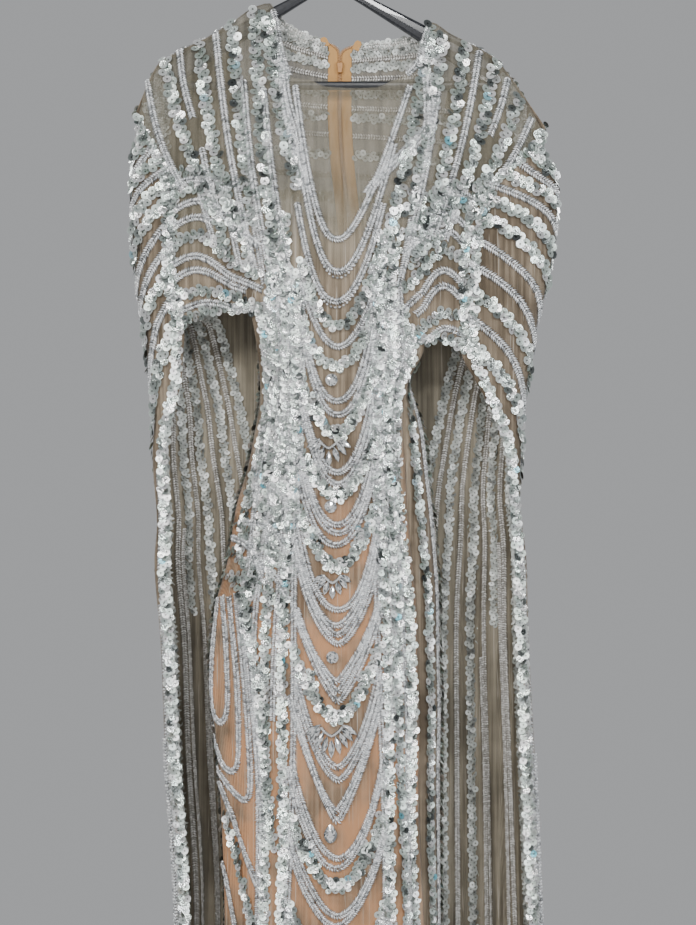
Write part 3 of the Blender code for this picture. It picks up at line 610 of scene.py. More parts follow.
# Uneven folds of the capes and of the back halves: place across, top, width and depth
CAPE_FOLDS = (
    (0.18, 620, 0.07, 1.4), (0.52, 540, 0.1, -1.6), (1.1, 700, 0.04, 1.8), (1.21, 560, 0.03, -2),
    (1.34, 480, 0.05, 2.2), (1.47, 760, 0.03, -2.4), (1.58, 520, 0.035, 2), (1.71, 640, 0.04, -2.4),
    (1.8, 500, 0.03, 2.2), (1.91, 800, 0.03, -2),
)
BACK_FOLDS = ((0.2, 620, 0.05, -1.8), (0.42, 560, 0.06, 2.0), (0.66, 700, 0.05, -2.2), (0.82, 640, 0.04, 1.6))
# The zip is open above this level, and the back halves' top corners lie this share apart.
ZIP_OPEN_LEVEL = 0.42
ZIP_OPEN_SHARE = 0.05


def zip_opening(level):
    """1 at the neck edge, where the zip lies open, and 0 from the slider down."""
    return 1 - ease(level / ZIP_OPEN_LEVEL)


def make_cape(side):
    u = np.unique(np.round(steps((0, 1, 18), (1, 1.2, 14), (1.2, 2, 52)), 6))
    levels = steps((1, 5, 54), (5, 6, 90))
    panel = Panel(cape(side, u, levels[:, None]), levels, u, (90, -12), 1)
    shift = 0.03 if side == "left" else -0.02
    panel.lift(fold_heights(u, panel.drops(), CAPE_FOLDS, shift, 0.012, 120, 31, 260))
    return panel


def make_back(side):
    h = np.linspace(0, 1, 44)
    levels = steps((0, 1, 26), (1, 5, 50), (5, 6, 110))
    apart = ZIP_OPEN_SHARE * zip_opening(levels[:, None]) * ease((h - 0.85) / 0.15)
    panel = Panel(back(side, h - apart, levels[:, None]), levels, h, (60, 20), 1)
    panel.lift(fold_heights(h, panel.drops(), BACK_FOLDS, 0, 0.02, 140, 17, 240))
    return panel


# Materials
def net_finish(name, first, second, axis, first_at, second_at, cover, warm=False):
    """Net in dark, middle and light tones, from uneven tone and from upright crease streaks whose dark and
    light ends are painted crease shade and highlight. Tones and cover change along a stretch of an axis.
    """
    net = Finish(name, Roughness=0.62, Sheen_Weight=0.25, Sheen_Roughness=0.4, Specular_IOR_Level=0.3)
    place = net.place()
    # Upright streaks: they bump the net, and in its colour they are painted shade in the creases and painted
    # highlight on their ridges.
    crease_streak = net.noise(Vector=net.moved(place, Scale=(210.0, 60.0, 6.0)), Scale=1.0, Detail=6.0)
    cloud = net.noise(Vector=place, Scale=16.0, Detail=3.0)
    tone_and_painted_crease_shade = net.calc("ADD", net.calc("MULTIPLY", crease_streak, 0.6), net.calc("MULTIPLY", cloud, 0.4))
    tones = [net.ramp(tone_and_painted_crease_shade, *zip((0.38, 0.5, 0.63), colours)) for colours in (first, second)]
    axes = net.add("SeparateXYZ", Vector=place).outputs
    smoothly = {"interpolation_type": "SMOOTHSTEP"}
    stretch = net.spread(axes[axis], **smoothly, From_Min=first_at, From_Max=second_at)
    colour = net.blend(stretch, *tones)
    weave = net.add("UVMap", uv_map="weave").outputs["UV"]
    heights = []
    for turn in (0, 60, -60):
        turned_weave = net.moved(weave, Rotation=(0, 0, math.radians(turn)))
        heights.append(net.bands("X", wave_profile="SIN", Vector=turned_weave, Scale=260.0, Distortion=0.4))
    threads = net.calc("MAXIMUM", net.calc("MAXIMUM", heights[0], heights[1]), heights[2])
    if warm:
        low = net.spread(axes["Z"], **smoothly, From_Min=-0.50, From_Max=-0.78)
        patches = net.calc("MULTIPLY", low, net.ramp(cloud, (0.40, 0.15), (0.60, 1)))
        colour = net.blend(patches, colour, (0.60, 0.31, 0.155, 1))
    gaps = net.ramp(threads, (0.45, (0.62, 0.60, 0.58)), (0.9, 1))
    colour = net.blend(1.0, colour, gaps, "MULTIPLY")
    # Fine light upright lines: partly pulled threads, partly painted sheen along fine crinkles.
    lean = net.moved(place, Rotation=(0, 0.06, 0.4), Scale=(520.0, 200.0, 5.0))
    thread_pulls_and_sheen = net.ramp(net.noise(Vector=lean, Scale=1.0), (0.64, 0), (0.70, 0.55))
    net.relief(net.calc("ADD", threads, net.calc("MULTIPLY", crease_streak, 3.0)), 0.5, 0.0008)
    opaque = net.spread(stretch, To_Min=cover[0], To_Max=cover[1])
    return net.done(Base_Color=net.blend(thread_pulls_and_sheen, colour, (0.62, 0.56, 0.48, 1)),
                    Alpha=net.calc("ADD", opaque, net.calc("MULTIPLY", threads, 0.06)))


def metal_finish(name, rough, metallic, grain, *stops):
    """Foil or silvered glass whose colour changes from one small piece to the next. Pieces of one foil
    painted from dark to white are painted reflection: dark ones for dark surroundings, white ones as
    highlights and glints.
    """
    metal = Finish(name, Metallic=metallic)
    chance = metal.add("NewGeometry").outputs["Random Per Island"]
    middle = metal.add("Attribute", attribute_name="middle").outputs["Fac"]
    rings = metal.ramp(middle, (0.0, 1), (0.30, 0.93), (0.42, (0.70, 0.71, 0.70)), (0.55, 0.95), (0.72, 0.80),
                       (0.80, (0.16, 0.16, 0.15)))
    shuffled = metal.calc("FRACT", metal.calc("MULTIPLY", chance, 37.7))
    metal.relief(metal.noise(Vector=metal.place(), Scale=grain), 0.5, 0.0008)
    # Each piece's painted reflection brightness, times the rings from rim to middle.
    return metal.done(Base_Color=metal.blend(1.0, metal.ramp(chance, *stops), rings, "MULTIPLY"),
                      Roughness=metal.spread(shuffled, To_Min=rough[0], To_Max=rough[1]))


def cut_glass():
    """Foiled glass with painted reflection: each facet's brightness is drawn at random from the direction it
    faces, and the table, which faces the front, is painted white as a highlight.
    """
    glass = Finish("cut_glass", Metallic=0.6, Roughness=0.07, IOR=1.7, Coat_Weight=0.8, Coat_Roughness=0.03)
    facing = glass.add("NewGeometry").outputs["True Normal"]
    facet = glass.add("TexWhiteNoise", noise_dimensions="3D", Vector=facing).outputs["Value"]
    # The table facing the front is painted white as a highlight.
    table = glass.calc("LESS_THAN", glass.add("SeparateXYZ", Vector=facing).outputs["Y"], -0.985)
    painted_glint = glass.calc("MAXIMUM", facet, glass.calc("MULTIPLY", table, 0.8))
    return glass.done(Base_Color=glass.ramp(painted_glint, (0.0, (0.06, 0.065, 0.07)), (0.35, (0.34, 0.36, 0.37)),
                                            (0.55, (0.80, 0.83, 0.83)), (0.8, 1)))


def tape_finish():
    tape = Finish("zip_tape_weave", Roughness=0.6, Sheen_Weight=0.2)
    uv = tape.add("UVMap", uv_map="weave").outputs["UV"]
    threads = [tape.bands(way, Vector=uv, Scale=scale) for way, scale in (("Y", 330.0), ("X", 210.0))]
    weave = tape.calc("MULTIPLY", *threads)
    tape.relief(weave, 0.4, 0.0004)
    return tape.done(Base_Color=tape.ramp(weave, (0.0, (0.46, 0.24, 0.07)), (0.8, (0.70, 0.39, 0.13))))


def plain_finish(name, scale, roughness, coat, *stops):
    plain = Finish(name, Roughness=roughness, Coat_Weight=coat)
    mottle = plain.noise(Vector=plain.place(), Scale=scale, Detail=4.0)
    plain.relief(mottle, 0.3, 0.0001)
    return plain.done(Base_Color=plain.ramp(mottle, *stops))


# One silver foil, painted from near black to white with a few blue-green pieces: painted dark reflections,
# highlights and glints.
SEQUIN = metal_finish("sequin_foil", (0.08, 0.40), 0.80, 700.0,
                      (0.0, (0.09, 0.10, 0.10)), (0.10, (0.30, 0.33, 0.32)), (0.26, (0.58, 0.65, 0.61)),
                      (0.50, (0.76, 0.85, 0.80)), (0.72, (0.90, 0.95, 0.93)), (0.85, 1), (0.984, 1),
                      (0.996, (0.26, 0.66, 0.78)))
SILVER_BEAD = metal_finish("silver_beads", (0.16, 0.40), 0.5, 1500.0,
                           (0.0, (0.26, 0.27, 0.28)), (0.2, (0.62, 0.64, 0.65)), (0.55, (0.82, 0.84, 0.86)),
                           (0.85, (0.99, 0.99, 1.0)))
SEQUIN_BACK = metal_finish("sequin_wrong_side", (0.3, 0.6), 0.3, 900.0,
                           (0.0, (0.26, 0.27, 0.26)), (0.3, (0.44, 0.46, 0.43)), (0.7, (0.58, 0.61, 0.58)),
                           (0.95, (0.86, 0.88, 0.86)))
BEAD_BACK = metal_finish("bead_wrong_side", (0.35, 0.6), 0.2, 1500.0,
                         (0.0, (0.46, 0.44, 0.41)), (0.5, (0.70, 0.68, 0.65)), (1.0, (0.92, 0.91, 0.89)))
# Dark, middle and light tones of the nets: partly the net's own uneven tone, partly painted shade and
# highlight along the crease streaks.
TAN = ((0.122, 0.092, 0.060), (0.245, 0.192, 0.135), (0.44, 0.355, 0.26))
# The yoke's taupe: the back's taupe painted lighter, to make up for the shade inside that shows through the
# sheer net.
YOKE_TAUPE_PAINTED_LIGHTER = ((0.27, 0.245, 0.18), (0.42, 0.385, 0.29), (0.58, 0.53, 0.42))
TAUPE = ((0.14, 0.122, 0.090), (0.275, 0.243, 0.182), (0.44, 0.39, 0.30))
FRONT_NET = net_finish("front_net", TAN, YOKE_TAUPE_PAINTED_LIGHTER, "Z", -0.42, -0.28, (0.97, 0.14), warm=True)
BACK_NET = net_finish("back_net", TAN, TAUPE, "Z", -0.50, -0.34, (0.95, 0.45))
CAPE_NET = net_finish("cape_net", TAN, TAUPE, "Y", 0.004, 0.020, (0.80, 0.88))

# Kinds of cord: sequins, beads, and beads with drop beads hanging from them
S, B, D = "sequins", "beads", "beads with drops"
# Sequins overlap in a zigzag, and small beads lie in two slanting rows. Sizes are in mm.
SEQUIN_STEP, SEQUIN_RADIUS, SEQUIN_CUP, SEQUIN_SIDE = 3.3, 4.2, 0.45, 2.494
SEQUIN_CORNERS = 9
BEAD_STEP, BEAD_LENGTH, BEAD_RADIUS, BEAD_SIDE = 2.35, 7.0, 1.75, 1.8
DROP_LENGTH, DROP_RADIUS = 4.2, 1.9


class Heap:
    """Many copies of a few small shapes, joined into one mesh."""

    def __init__(self):
        self.verts, self.faces, self.middles, self.count = [], [], [], 0

    def put(self, shape, faces, places, frames, middle=0.0):
        """shape (m, 3) in mm, places (n, 3) and frames (n, 3, 3) of columns side, along, out."""
        self.middles.append(np.tile(np.broadcast_to(middle, len(shape)), len(places)))
        verts = places[:, None, :] + np.einsum("nij,mj->nmi", frames, shape) * MM
        start = self.count + np.arange(len(places))[:, None, None] * len(shape)
        self.verts.append(verts.reshape(-1, 3))
        self.faces.append((faces[None] + start).reshape(-1, 3))
        self.count += len(places) * len(shape)

    def build(self, name, finish):
        verts, faces = np.concatenate(self.verts), np.concatenate(self.faces)
        mesh = bpy.data.meshes.new(name)
        mesh.vertices.add(len(verts))
        mesh.vertices.foreach_set("co", verts.ravel())
        mesh.loops.add(faces.size)
        mesh.loops.foreach_set("vertex_index", faces.ravel())
        mesh.polygons.add(len(faces))
        mesh.polygons.foreach_set("loop_start", np.arange(0, faces.size, 3))
        mesh.update(calc_edges=True)
        middle = mesh.attributes.new("middle", "FLOAT", "POINT")
        middle.data.foreach_set("value", np.concatenate(self.middles))
        mesh.materials.append(finish)
        return dress(link(name, mesh))


def circle(count, start=0.0):
    turn = (np.arange(count) + start) * 2 * math.pi / count
    return np.cos(turn), np.sin(turn)


def disc_shape():
    x, y = circle(SEQUIN_CORNERS)
    rim = np.stack((x * SEQUIN_RADIUS, y * SEQUIN_RADIUS, np.full(SEQUIN_CORNERS, SEQUIN_CUP)), axis=-1)
    faces = [(i, (i + 1) % SEQUIN_CORNERS, SEQUIN_CORNERS) for i in range(SEQUIN_CORNERS)]
    return np.vstack((rim, [[0, 0, 0]])), np.array(faces)


def bead_shape(length, radius):
    y, z = circle(4, 0.5)
    ring = np.stack((np.zeros(4), y * radius, z * radius), axis=-1)
    verts = np.vstack((ring, [[-length / 2, 0, 0], [length / 2, 0, 0]]))
    faces = [(i, (i + 1) % 4, 5) for i in range(4)] + [((i + 1) % 4, i, 4) for i in range(4)]
    return verts, np.array(faces)


DISC = disc_shape()
DISC_MIDDLE = np.array([0.0] * SEQUIN_CORNERS + [1.0])
BEAD = bead_shape(BEAD_LENGTH, BEAD_RADIUS)
DROP_BEAD = bead_shape(DROP_LENGTH, DROP_RADIUS)


def resample(points, normals, step):
    """Even places along a path, with frames whose columns are side, along and out."""
    gaps = np.linalg.norm(np.diff(points, axis=0), axis=1)
    length = np.concatenate(([0], np.cumsum(gaps)))
    at = np.linspace(0, length[-1], max(int(length[-1] / (step * MM)), 2))
    places, out = [np.stack([np.interp(at, length, values[:, k]) for k in range(3)], axis=-1)
                   for values in (points, normals)]
    along = unit(np.gradient(places, axis=0))
    out = unit(out - along * np.sum(out * along, axis=1, keepdims=True))
    return places, np.stack((np.cross(along, out), along, out), axis=-1)


def beside(frames, shift, rise):
    """The way from a path to places beside and above it, given in mm."""
    return (frames[:, :, 0] * np.reshape(shift, (-1, 1)) + frames[:, :, 2] * np.reshape(rise, (-1, 1))) * MM


def turned(frames, *angles):
    """Frames turned by small angles about their own side, along and out directions."""
    for axis, angle in enumerate(angles):
        spin = np.zeros(frames.shape)
        a, b = [k for k in range(3) if k != axis]
        spin[:, axis, axis] = 1
        spin[:, a, a] = spin[:, b, b] = np.cos(angle)
        spin[:, a, b], spin[:, b, a] = -np.sin(angle), np.sin(angle)
        frames = np.einsum("nij,njk->nik", frames, spin)
    return frames


def sequin_cord(heap, points, normals, height=0.9, scale=1.0):
    places, frames = resample(points, normals, SEQUIN_STEP * scale)
    n = len(places)
    swap = np.where(np.arange(n) % 2 == 0, 1.0, -1.0)
    wave = 1.5 * np.sin(np.arange(n) * (2 * math.pi / 5.6) + rng.uniform(0, 6))
    shift = (swap * SEQUIN_SIDE + wave) * scale + rng.normal(0, 0.25, n)
    rise = height + 0.6 + 0.2 * swap + rng.uniform(0, 0.3, n)
    lean = turned(frames, 0.24 + rng.normal(0, 0.17, n), swap * 0.18 + rng.normal(0, 0.2, n),
                  rng.uniform(0, 0.8, n))
    heap.put(DISC[0] * scale, DISC[1], places + beside(frames, shift, rise), lean, DISC_MIDDLE)


def bead_cord(heap, points, normals, height=0.8, scale=1.0, drops=False, coarse=1.0):
    """Two slanting rows of beads, with drop beads hanging from them where drops is true."""
    places, frames = resample(points, normals, BEAD_STEP * scale * coarse)
    n = len(places)
    shape = BEAD[0] * scale * np.array([1.0, 0.74 * coarse, 1.0])
    for side in (-1.0, 1.0):
        moved = places + beside(frames, side * BEAD_SIDE * scale, height + rng.uniform(0, 0.7, n))
        lean = turned(frames, rng.normal(0, 0.06, n), rng.normal(0, 0.16, n),
                      side * 0.6 + rng.normal(0, 0.16, n))
        heap.put(shape, BEAD[1], moved, lean)
    if drops:
        pick = np.arange(2, n - 2, 2)
        hang = places[pick] + beside(frames[pick], 0, 1.3) - np.array([0, 0, 6.6 * MM])
        heap.put(*DROP_BEAD, hang, turned(frames[pick], 0, 0, math.pi / 2))


class Trim:
    """The heaps of one part of the gown, and the cords laid into them."""

    def __init__(self):
        self.sequins, self.beads = Heap(), Heap()
        self.sequin_backs, self.bead_backs = Heap(), Heap()

    def cord(self, kind, points, normals, height=0.9, scale=1.0, coarse=1.0):
        if kind == S:
            sequin_cord(self.sequins, points, normals, height, scale)
        else:
            bead_cord(self.beads, points, normals, height, scale, kind == D, coarse)

    def both_sides(self, kind, points, normals, scale=1.0):
        self.cord(kind, points, normals, scale=scale, coarse=1.7)
        under = points - normals * 0.7 * MM
        if kind == S:
            sequin_cord(self.sequin_backs, under, -normals, 0.1, scale)
        else:
            bead_cord(self.bead_backs, under, -normals, 0.3, scale * 0.95, coarse=1.45)

    def build(self, name):
        heaps = ((self.sequins, "sequins_", SEQUIN), (self.beads, "beads_", SILVER_BEAD),
                 (self.sequin_backs, "sequin_backs_", SEQUIN_BACK),
                 (self.bead_backs, "bead_backs_", BEAD_BACK))
        return [heap.build(start + name, finish) for heap, start, finish in heaps if heap.count]


def rolled_edge(name, finish, *paths):
    """A narrow rolled edge, six-sided, along the sides of a piece of cloth."""
    across, up = circle(6)
    verts, faces = [], []
    for path in paths:
        places, frames = resample(*path, 7.0)
        start, n = len(verts), len(places)
        for k in range(n):
            rim = np.outer(across, frames[k, :, 0]) + np.outer(up, frames[k, :, 2])
            verts += (places[k] + (rim * 0.9 - frames[k, :, 2] * 0.35) * MM).tolist()
        for i in range(n - 1):
            for k in range(6):
                a, b = start + i * 6 + k, start + i * 6 + (k + 1) % 6
                faces.append((a, b, b + 6, a + 6))
        faces.append(tuple(range(start, start + 6)))
        faces.append(tuple(reversed(range(start + n * 6 - 6, start + n * 6))))
    made = mesh_object(name, verts, faces, finish)
    made.data.shade_smooth()
    return dress(made)


class FrontView:
    """Finds the cloth's place and normal from x and drop, as seen from the front."""

    def __init__(self, panel):
        self.quads = panel.quads()
        self.normals = panel.normal.reshape(-1, 3)
        self.tree = BVHTree.FromPolygons(panel.grid.reshape(-1, 3).tolist(), self.quads.tolist())

    def lay(self, x, drop):
        points, normals = [], []
        for px, pd in zip(x, drop):
            hit = self.tree.ray_cast(Vector((px * MM, -1.0, -pd * MM)), Vector((0, 1, 0)))
            if hit[0] is not None:
                points.append(tuple(hit[0]))
                normals.append(self.normals[self.quads[hit[2]]].mean(axis=0))
        return np.array(points), np.array(normals)


def lay_front(trim, view, kind, x, drop, height=0.9, scale=1.0):
    points, normals = view.lay(x, drop)
    if len(points) > 2:
        trim.cord(kind, points, normals, height=height, scale=scale)


# Cords from the shoulder line: kind, start across and drop, end across and drop, bow
SHOULDER_RAYS = (
    (B, -203, 174, -164, 297, 7), (S, -184, 154, -127, 326, 6), (B, -167, 142, -152, 220, 3),
    (S, -146, 129, -100, 356, 7), (B, -141, 256, -120, 330, 2), (B, -128, 117, -82, 390, 6),
    (S, -109, 106, -84, 330, 4), (B, -96, 180, -66, 390, 4), (S, -84, 99, -52, 412, 6),
    (B, -74, 190, -44, 400, 3), (S, -71, 104, -36, 300, 5), (B, -57, 150, -38, 268, 3),
    (S, 111, 116, 60, 362, -4), (S, 124, 128, 84, 330, -5), (B, 118, 190, 74, 408, -4),
    (S, 148, 138, 96, 378, -6), (B, 164, 146, 112, 352, -6), (S, 182, 157, 128, 340, -6),
    (B, 195, 176, 175, 240, -2), (S, 208, 196, 150, 318, -6), (B, 221, 220, 168, 308, -5),
    (S, 231, 240, 166, 322, -5),
)


def shoulder_rays(trim, view):
    """Cords from the shoulder line, drawing together towards the middle of the bodice."""
    along = np.linspace(0, 1, 34)
    for kind, x1, d1, x2, d2, bow in SHOULDER_RAYS:
        x = mix(x1, x2, along) - bow * np.sin(math.pi * along)
        lay_front(trim, view, kind, x, mix(d1, d2, along), scale=1.2 if kind == S else 1.08)
    along = np.linspace(0, 1, 16)
    for side in (-1, 1):
        for k in range(7):
            t = k / 6
            x1, d1 = (-150 + 92 * t, 330 + 62 * t) if side < 0 else (150 - 84 * t, 322 + 62 * t)
            x = x1 - side * (6 + 18 * along * (1 - 0.6 * t))
            lay_front(trim, view, (B, S)[k % 2], x, d1 + 64 * along - 30, height=0.4)


# Cords over each underarm: kind, level at the sleeve seam, and how far in they reach
INNER_ARCHES = (
    (S, 2.62, 1), (B, 2.86, 0.6), (S, 3.08, 1), (B, 3.34, 1), (B, 3.58, 0.42), (S, 3.82, 1), (B, 4.1, 1),
    (B, 4.32, 0.8), (S, 4.56, 1), (B, 4.78, 0.9), (S, 4.95, 1),
)


def inner_arches(trim, panel):
    """Cords over each underarm, from the sleeve seam in to the bodice."""
    for near, far in ((0.004, 0.30), (0.996, 0.80)):
        for kind, level, reach in INNER_ARCHES:
            t = np.linspace(0, reach, 34)
            dip = 0.46 * t ** 2.0 * (level < 4.9)
            lift = 0.17 * np.sin(math.pi * np.clip(t * 1.5, 0, 1)) * (level < 4.5)
            trim.cord(kind, *panel.at(mix(near, far, t), np.minimum(level + dip - lift, 4.96)), scale=1.08)


# The swags' middle and half width
SWAG_CENTRE = 7.0
SWAG_HALF = Table("drop half", (
    (300, 36), (430, 36), (565, 37), (700, 41), (850, 44), (1100, 50), (1600, 64),
))
# Cords down the body beside the swags: how far in across the band, kind, start and end
LEFT_COLUMNS = (
    (0.04, B, 470, 610), (0.14, S, 440, 700), (0.26, B, 430, 745), (0.38, S, 350, 800), (0.5, B, 400, 1600),
    (0.62, S, 330, 1600), (0.74, B, 390, 880), (0.86, S, 390, 1600), (0.98, B, 380, 1600),
)
RIGHT_COLUMNS = (
    (0.03, B, 385, 1600), (0.22, S, 350, 1600), (0.4, B, 400, 890), (0.57, S, 370, 1600),
    (0.74, B, 410, 1600), (0.91, S, 450, 1600),
)
LEFT_FILLERS = (
    (0.08, S, 430, 560), (0.2, B, 420, 640), (0.32, S, 370, 650), (0.44, B, 380, 690), (0.56, B, 350, 720),
    (0.68, S, 380, 700), (0.8, B, 400, 660), (0.92, S, 400, 720),
)
RIGHT_FILLERS = (
    (0.12, S, 370, 700), (0.31, B, 390, 660), (0.49, S, 400, 720), (0.66, B, 420, 640), (0.83, S, 430, 600),
)
# How a set of columns sways and lies: wave length, shift from one to the next, height and scale
MAIN_SET = (70, 1.7, 0.9, 1.0)
FILLER_SET = (60, 1.0, 0.5, 0.95)


def band_x(side, q, drop):
    """A place across one of the bands between the body's side and the swags."""
    low = np.maximum(drop, 436)
    inner = SWAG_HALF.at("half", drop) + 2
    if side == "left":
        return mix(BODY.at("left", low) + 5, SWAG_CENTRE - inner, q)
    return mix(SWAG_CENTRE + inner, BODY.at("seam", low) - 5 - 12 * ease((500 - drop) / 60), q)


def columns(trim, view):
    """Columns down the body, then the fillers between them, which lie lower and are finer."""
    sets = (("left", LEFT_COLUMNS, 0, MAIN_SET), ("right", RIGHT_COLUMNS, 0, MAIN_SET),
            ("left", LEFT_FILLERS, 0, FILLER_SET), ("right", RIGHT_FILLERS, len(LEFT_FILLERS), FILLER_SET))
    for side, rows, first, (wave, shift, height, scale) in sets:
        for number, (q, kind, top, bottom) in enumerate(rows, first):
            drop = np.linspace(top, bottom, int((bottom - top) / 8))
            x = band_x(side, q, drop) + 1.6 * np.sin(drop / wave + number * shift)
            lay_front(trim, view, kind, x, drop, height, scale)


# Cords across the middle: drop of the lowest place, kind, rise of the arms, roundness
SWAG_ROWS = (
    (358, B, 172, 2.4), (393, D, 140, 2.3), (425, D, 106, 2.2), (452, S, 72, 2), (474, B, 70, 1.9),
    (495, S, 62, 2), (533, B, 84, 2.1), (548, B, 92, 2.1), (565, S, 66, 2), (611, B, 88, 2),
    (624, D, 92, 1.9), (633, S, 60, 1.9), (668, B, 84, 2), (677, B, 88, 2), (690, B, 92, 2),
    (710, S, 64, 2), (760, B, 100, 2.1), (777, B, 96, 1.8), (787, B, 100, 1.7), (797, B, 90, 1.6),
    (838, B, 84, 1.25), (849, B, 90, 1.2), (860, B, 96, 1.2), (873, S, 76, 1.8), (930, B, 104, 1.6),
    (944, B, 108, 1.5), (978, B, 124, 1.25), (989, B, 130, 1.2), (1028, B, 104, 1.8), (1039, B, 108, 1.8),
    (1055, S, 72, 2), (1090, B, 92, 1.7), (1101, B, 96, 1.7),
)
# Below them, a sequin cord at each drop and five bead cords to the next
LOWER_MARKS = (1150, 1262, 1380, 1500, 1588)


def swag(trim, view, kind, bottom, rise, half, power, turn=0.0, scale=1.0, flare=(0.0, 0.0)):
    """A U with steep arms, which may lean outwards by different amounts on the two sides."""
    t = np.linspace(-1, 1, 50)
    up = np.abs(t) ** power
    x = SWAG_CENTRE + half * mix(t, np.sin(t * math.pi / 2), 0.25) + turn
    x = x + up * np.where(t < 0, -flare[0], flare[1])
    lay_front(trim, view, kind, x, bottom - rise * up, height=1.3, scale=scale)


def swags(trim, view):
    """Cords that hang across the middle, with a sequin cord over each large stone."""
    for number, (bottom, kind, rise, power) in enumerate(SWAG_ROWS):
        half = float(SWAG_HALF.at("half", bottom)) + 1.5 * (number % 3)
        near = math.exp(-number / 1.6)
        turn = 1.4 * math.sin(number * 2.1)
        swag(trim, view, kind, bottom, rise, half, power, turn, flare=(10 * near, 44 * near))
        if kind == S and number > 5:
            swag(trim, view, S, bottom + 7, rise * 0.7, half * 0.62, power, scale=0.9)
    for number, (mark, following) in enumerate(zip(LOWER_MARKS, LOWER_MARKS[1:])):
        half = float(SWAG_HALF.at("half", mark)) + 2
        swag(trim, view, S, mark, 74, half, 1.9)
        for k in range(5):
            bottom = mark + mix(18, following - mark - 12, (k + 0.3 * (k % 2)) / 5)
            swag(trim, view, B, bottom, 84 + 6 * k, half + k, (1.9, 1.5, 1.2, 1.7)[(k + number) % 4])


# Cords on the left hip, each through a few places: kind, then across and drop
HIP_CORDS = (
    (B, (-124, 750), (-131, 815), (-131, 872), (-121, 890), (-111, 872), (-114, 800), (-119, 748)),
    (B, (-128, 902), (-120, 932), (-107, 941), (-99, 928), (-101, 840), (-111, 748)),
    (B, (-126, 936), (-108, 960), (-90, 972), (-86, 950), (-91, 860), (-103, 744)),
    (B, (-97, 742), (-86, 850), (-77, 950), (-72, 1010)),
    (S, (-89, 770), (-78, 850), (-68, 950), (-62, 1020)),
    (B, (-122, 952), (-102, 1000), (-84, 1050), (-72, 1076)),
    (S, (-115, 985), (-99, 1040), (-85, 1100), (-77, 1150)),
    (B, (-118, 1040), (-103, 1110), (-92, 1190), (-86, 1260)),
    (S, (-121, 1110), (-108, 1200), (-98, 1300), (-92, 1400)),
    (B, (-124, 1200), (-113, 1300), (-104, 1420), (-99, 1530)),
    (S, (-106, 664), (-97, 665), (-88, 678)),
    (B, (-107, 683), (-94, 687), (-82, 700), (-75, 724)),
    (S, (-111, 698), (-98, 703), (-90, 716), (-86, 736)),
    (S, (-114, 722), (-104, 728), (-97, 742), (-92, 768)),
)


def rounded(places):
    """A smooth line through the neighbourhood of a few places."""
    line = np.array(places, float)
    for turn in range(4):
        first, second = line[:-1], line[1:]
        cut = np.stack((0.75 * first + 0.25 * second, 0.25 * first + 0.75 * second), axis=1).reshape(-1, 2)
        line = np.vstack((line[:1], cut, line[-1:]))
    return line[:, 0], line[:, 1]


def hip_loops(trim, view):
    """Long narrow loops that fan down from the left hip, and short arcs above them."""
    for number, (kind, *places) in enumerate(HIP_CORDS):
        lay_front(trim, view, kind, *rounded(places), height=0.8 + 0.12 * number)
    t = np.linspace(0, 1, 26)
    for k in range(7):
        x = mix(-80 - 4 * k, -46, t) + 3 * np.sin(math.pi * t)
        drop = mix(606 + 20 * k, 648 + 24 * k, t) - 24 * np.sin(math.pi * t * 0.7)
        lay_front(trim, view, (S, B)[k % 2], x, drop, height=1.2)


def neck_edge(trim, panel):
    """Cords along the neck edge beside the scoop, and four down the scoop's sides."""
    for level, kind, low, high in ((0.012, B, 0.302, 0.366), (0.012, B, 0.700, 0.810),
                                   (0.2, S, 0.302, 0.36), (0.2, S, 0.74, 0.808)):
        trim.cord(kind, *panel.at(np.linspace(low, high, 90), level), height=0.7)
    level = np.linspace(0.06, 2.9, 50)
    for start, end in ((0.33, 0.425), (0.345, 0.44), (0.775, 0.655), (0.76, 0.643)):
        trim.cord(B, *panel.at(mix(start, end, (level / 2.9) ** 0.8), level), height=0.8)


SLEEVE_ROWS = (S, S, B, S, B, S, S, B, B, S, B, S)
STRIPES = 9


def cape_cords(trim, panel):
    """Fans on the sleeve, the two sequinned edges, and the stripes down the back of the cape."""
    t = np.linspace(0, 1, 26)
    for k, kind in enumerate(SLEEVE_ROWS):
        level = 1.02 + 0.35 * k + (1.1 + 0.03 * k) * t ** 1.1
        level = np.where(level > 5, 5 + (level - 5) * 0.11, level)
        trim.cord(kind, *panel.at(0.02 + 1.12 * t, level), scale=1.2)
    trim.cord(S, *panel.at(1.04, np.linspace(1.02, 6, 260)))
    trim.both_sides(S, *panel.at(0.10, np.linspace(2.6, 6, 240)))
    trim.cord(S, *panel.at(0.025, np.linspace(1.0, 5.0, 120)), scale=0.9)
    for k in range(STRIPES):
        t = (k + 0.5) / STRIPES
        level = np.linspace(1.15, 5.995, 260)[:222 if k % 5 == 2 else 260]
        u = 1.08 + mix(0.30 * t, 0.88 * t, ease((level - 4.66) / 0.66)) + 0.006 * np.sin(level * 5 + k)
        trim.both_sides((S, B)[k % 2], *panel.at(u, level), scale=0.85)
    for k in range(7):
        level = np.linspace(1.03, 5.02 - 0.1 * (k % 3), 110)
        u = mix(1.985 - 0.09 * k, 1.97 - 0.07 * k, (level - 1) / 4)
        trim.cord((B, S)[k % 2], *panel.at(u, level), coarse=1.3)
    for k in range(3):
        level = np.linspace(5.14 + 0.13 * k, 5.98 - 0.2 * (k == 1), 90)
        trim.both_sides(B, *panel.at(0.30 + 0.22 * k, level), scale=0.85)
    for k in range(4):
        level = np.linspace(5.2 + 0.12 * k, 5.98, 90)
        trim.both_sides(B, *panel.at(1.27 + 0.176 * k + 0.004 * np.sin(level * 9 + k), level), scale=0.8)


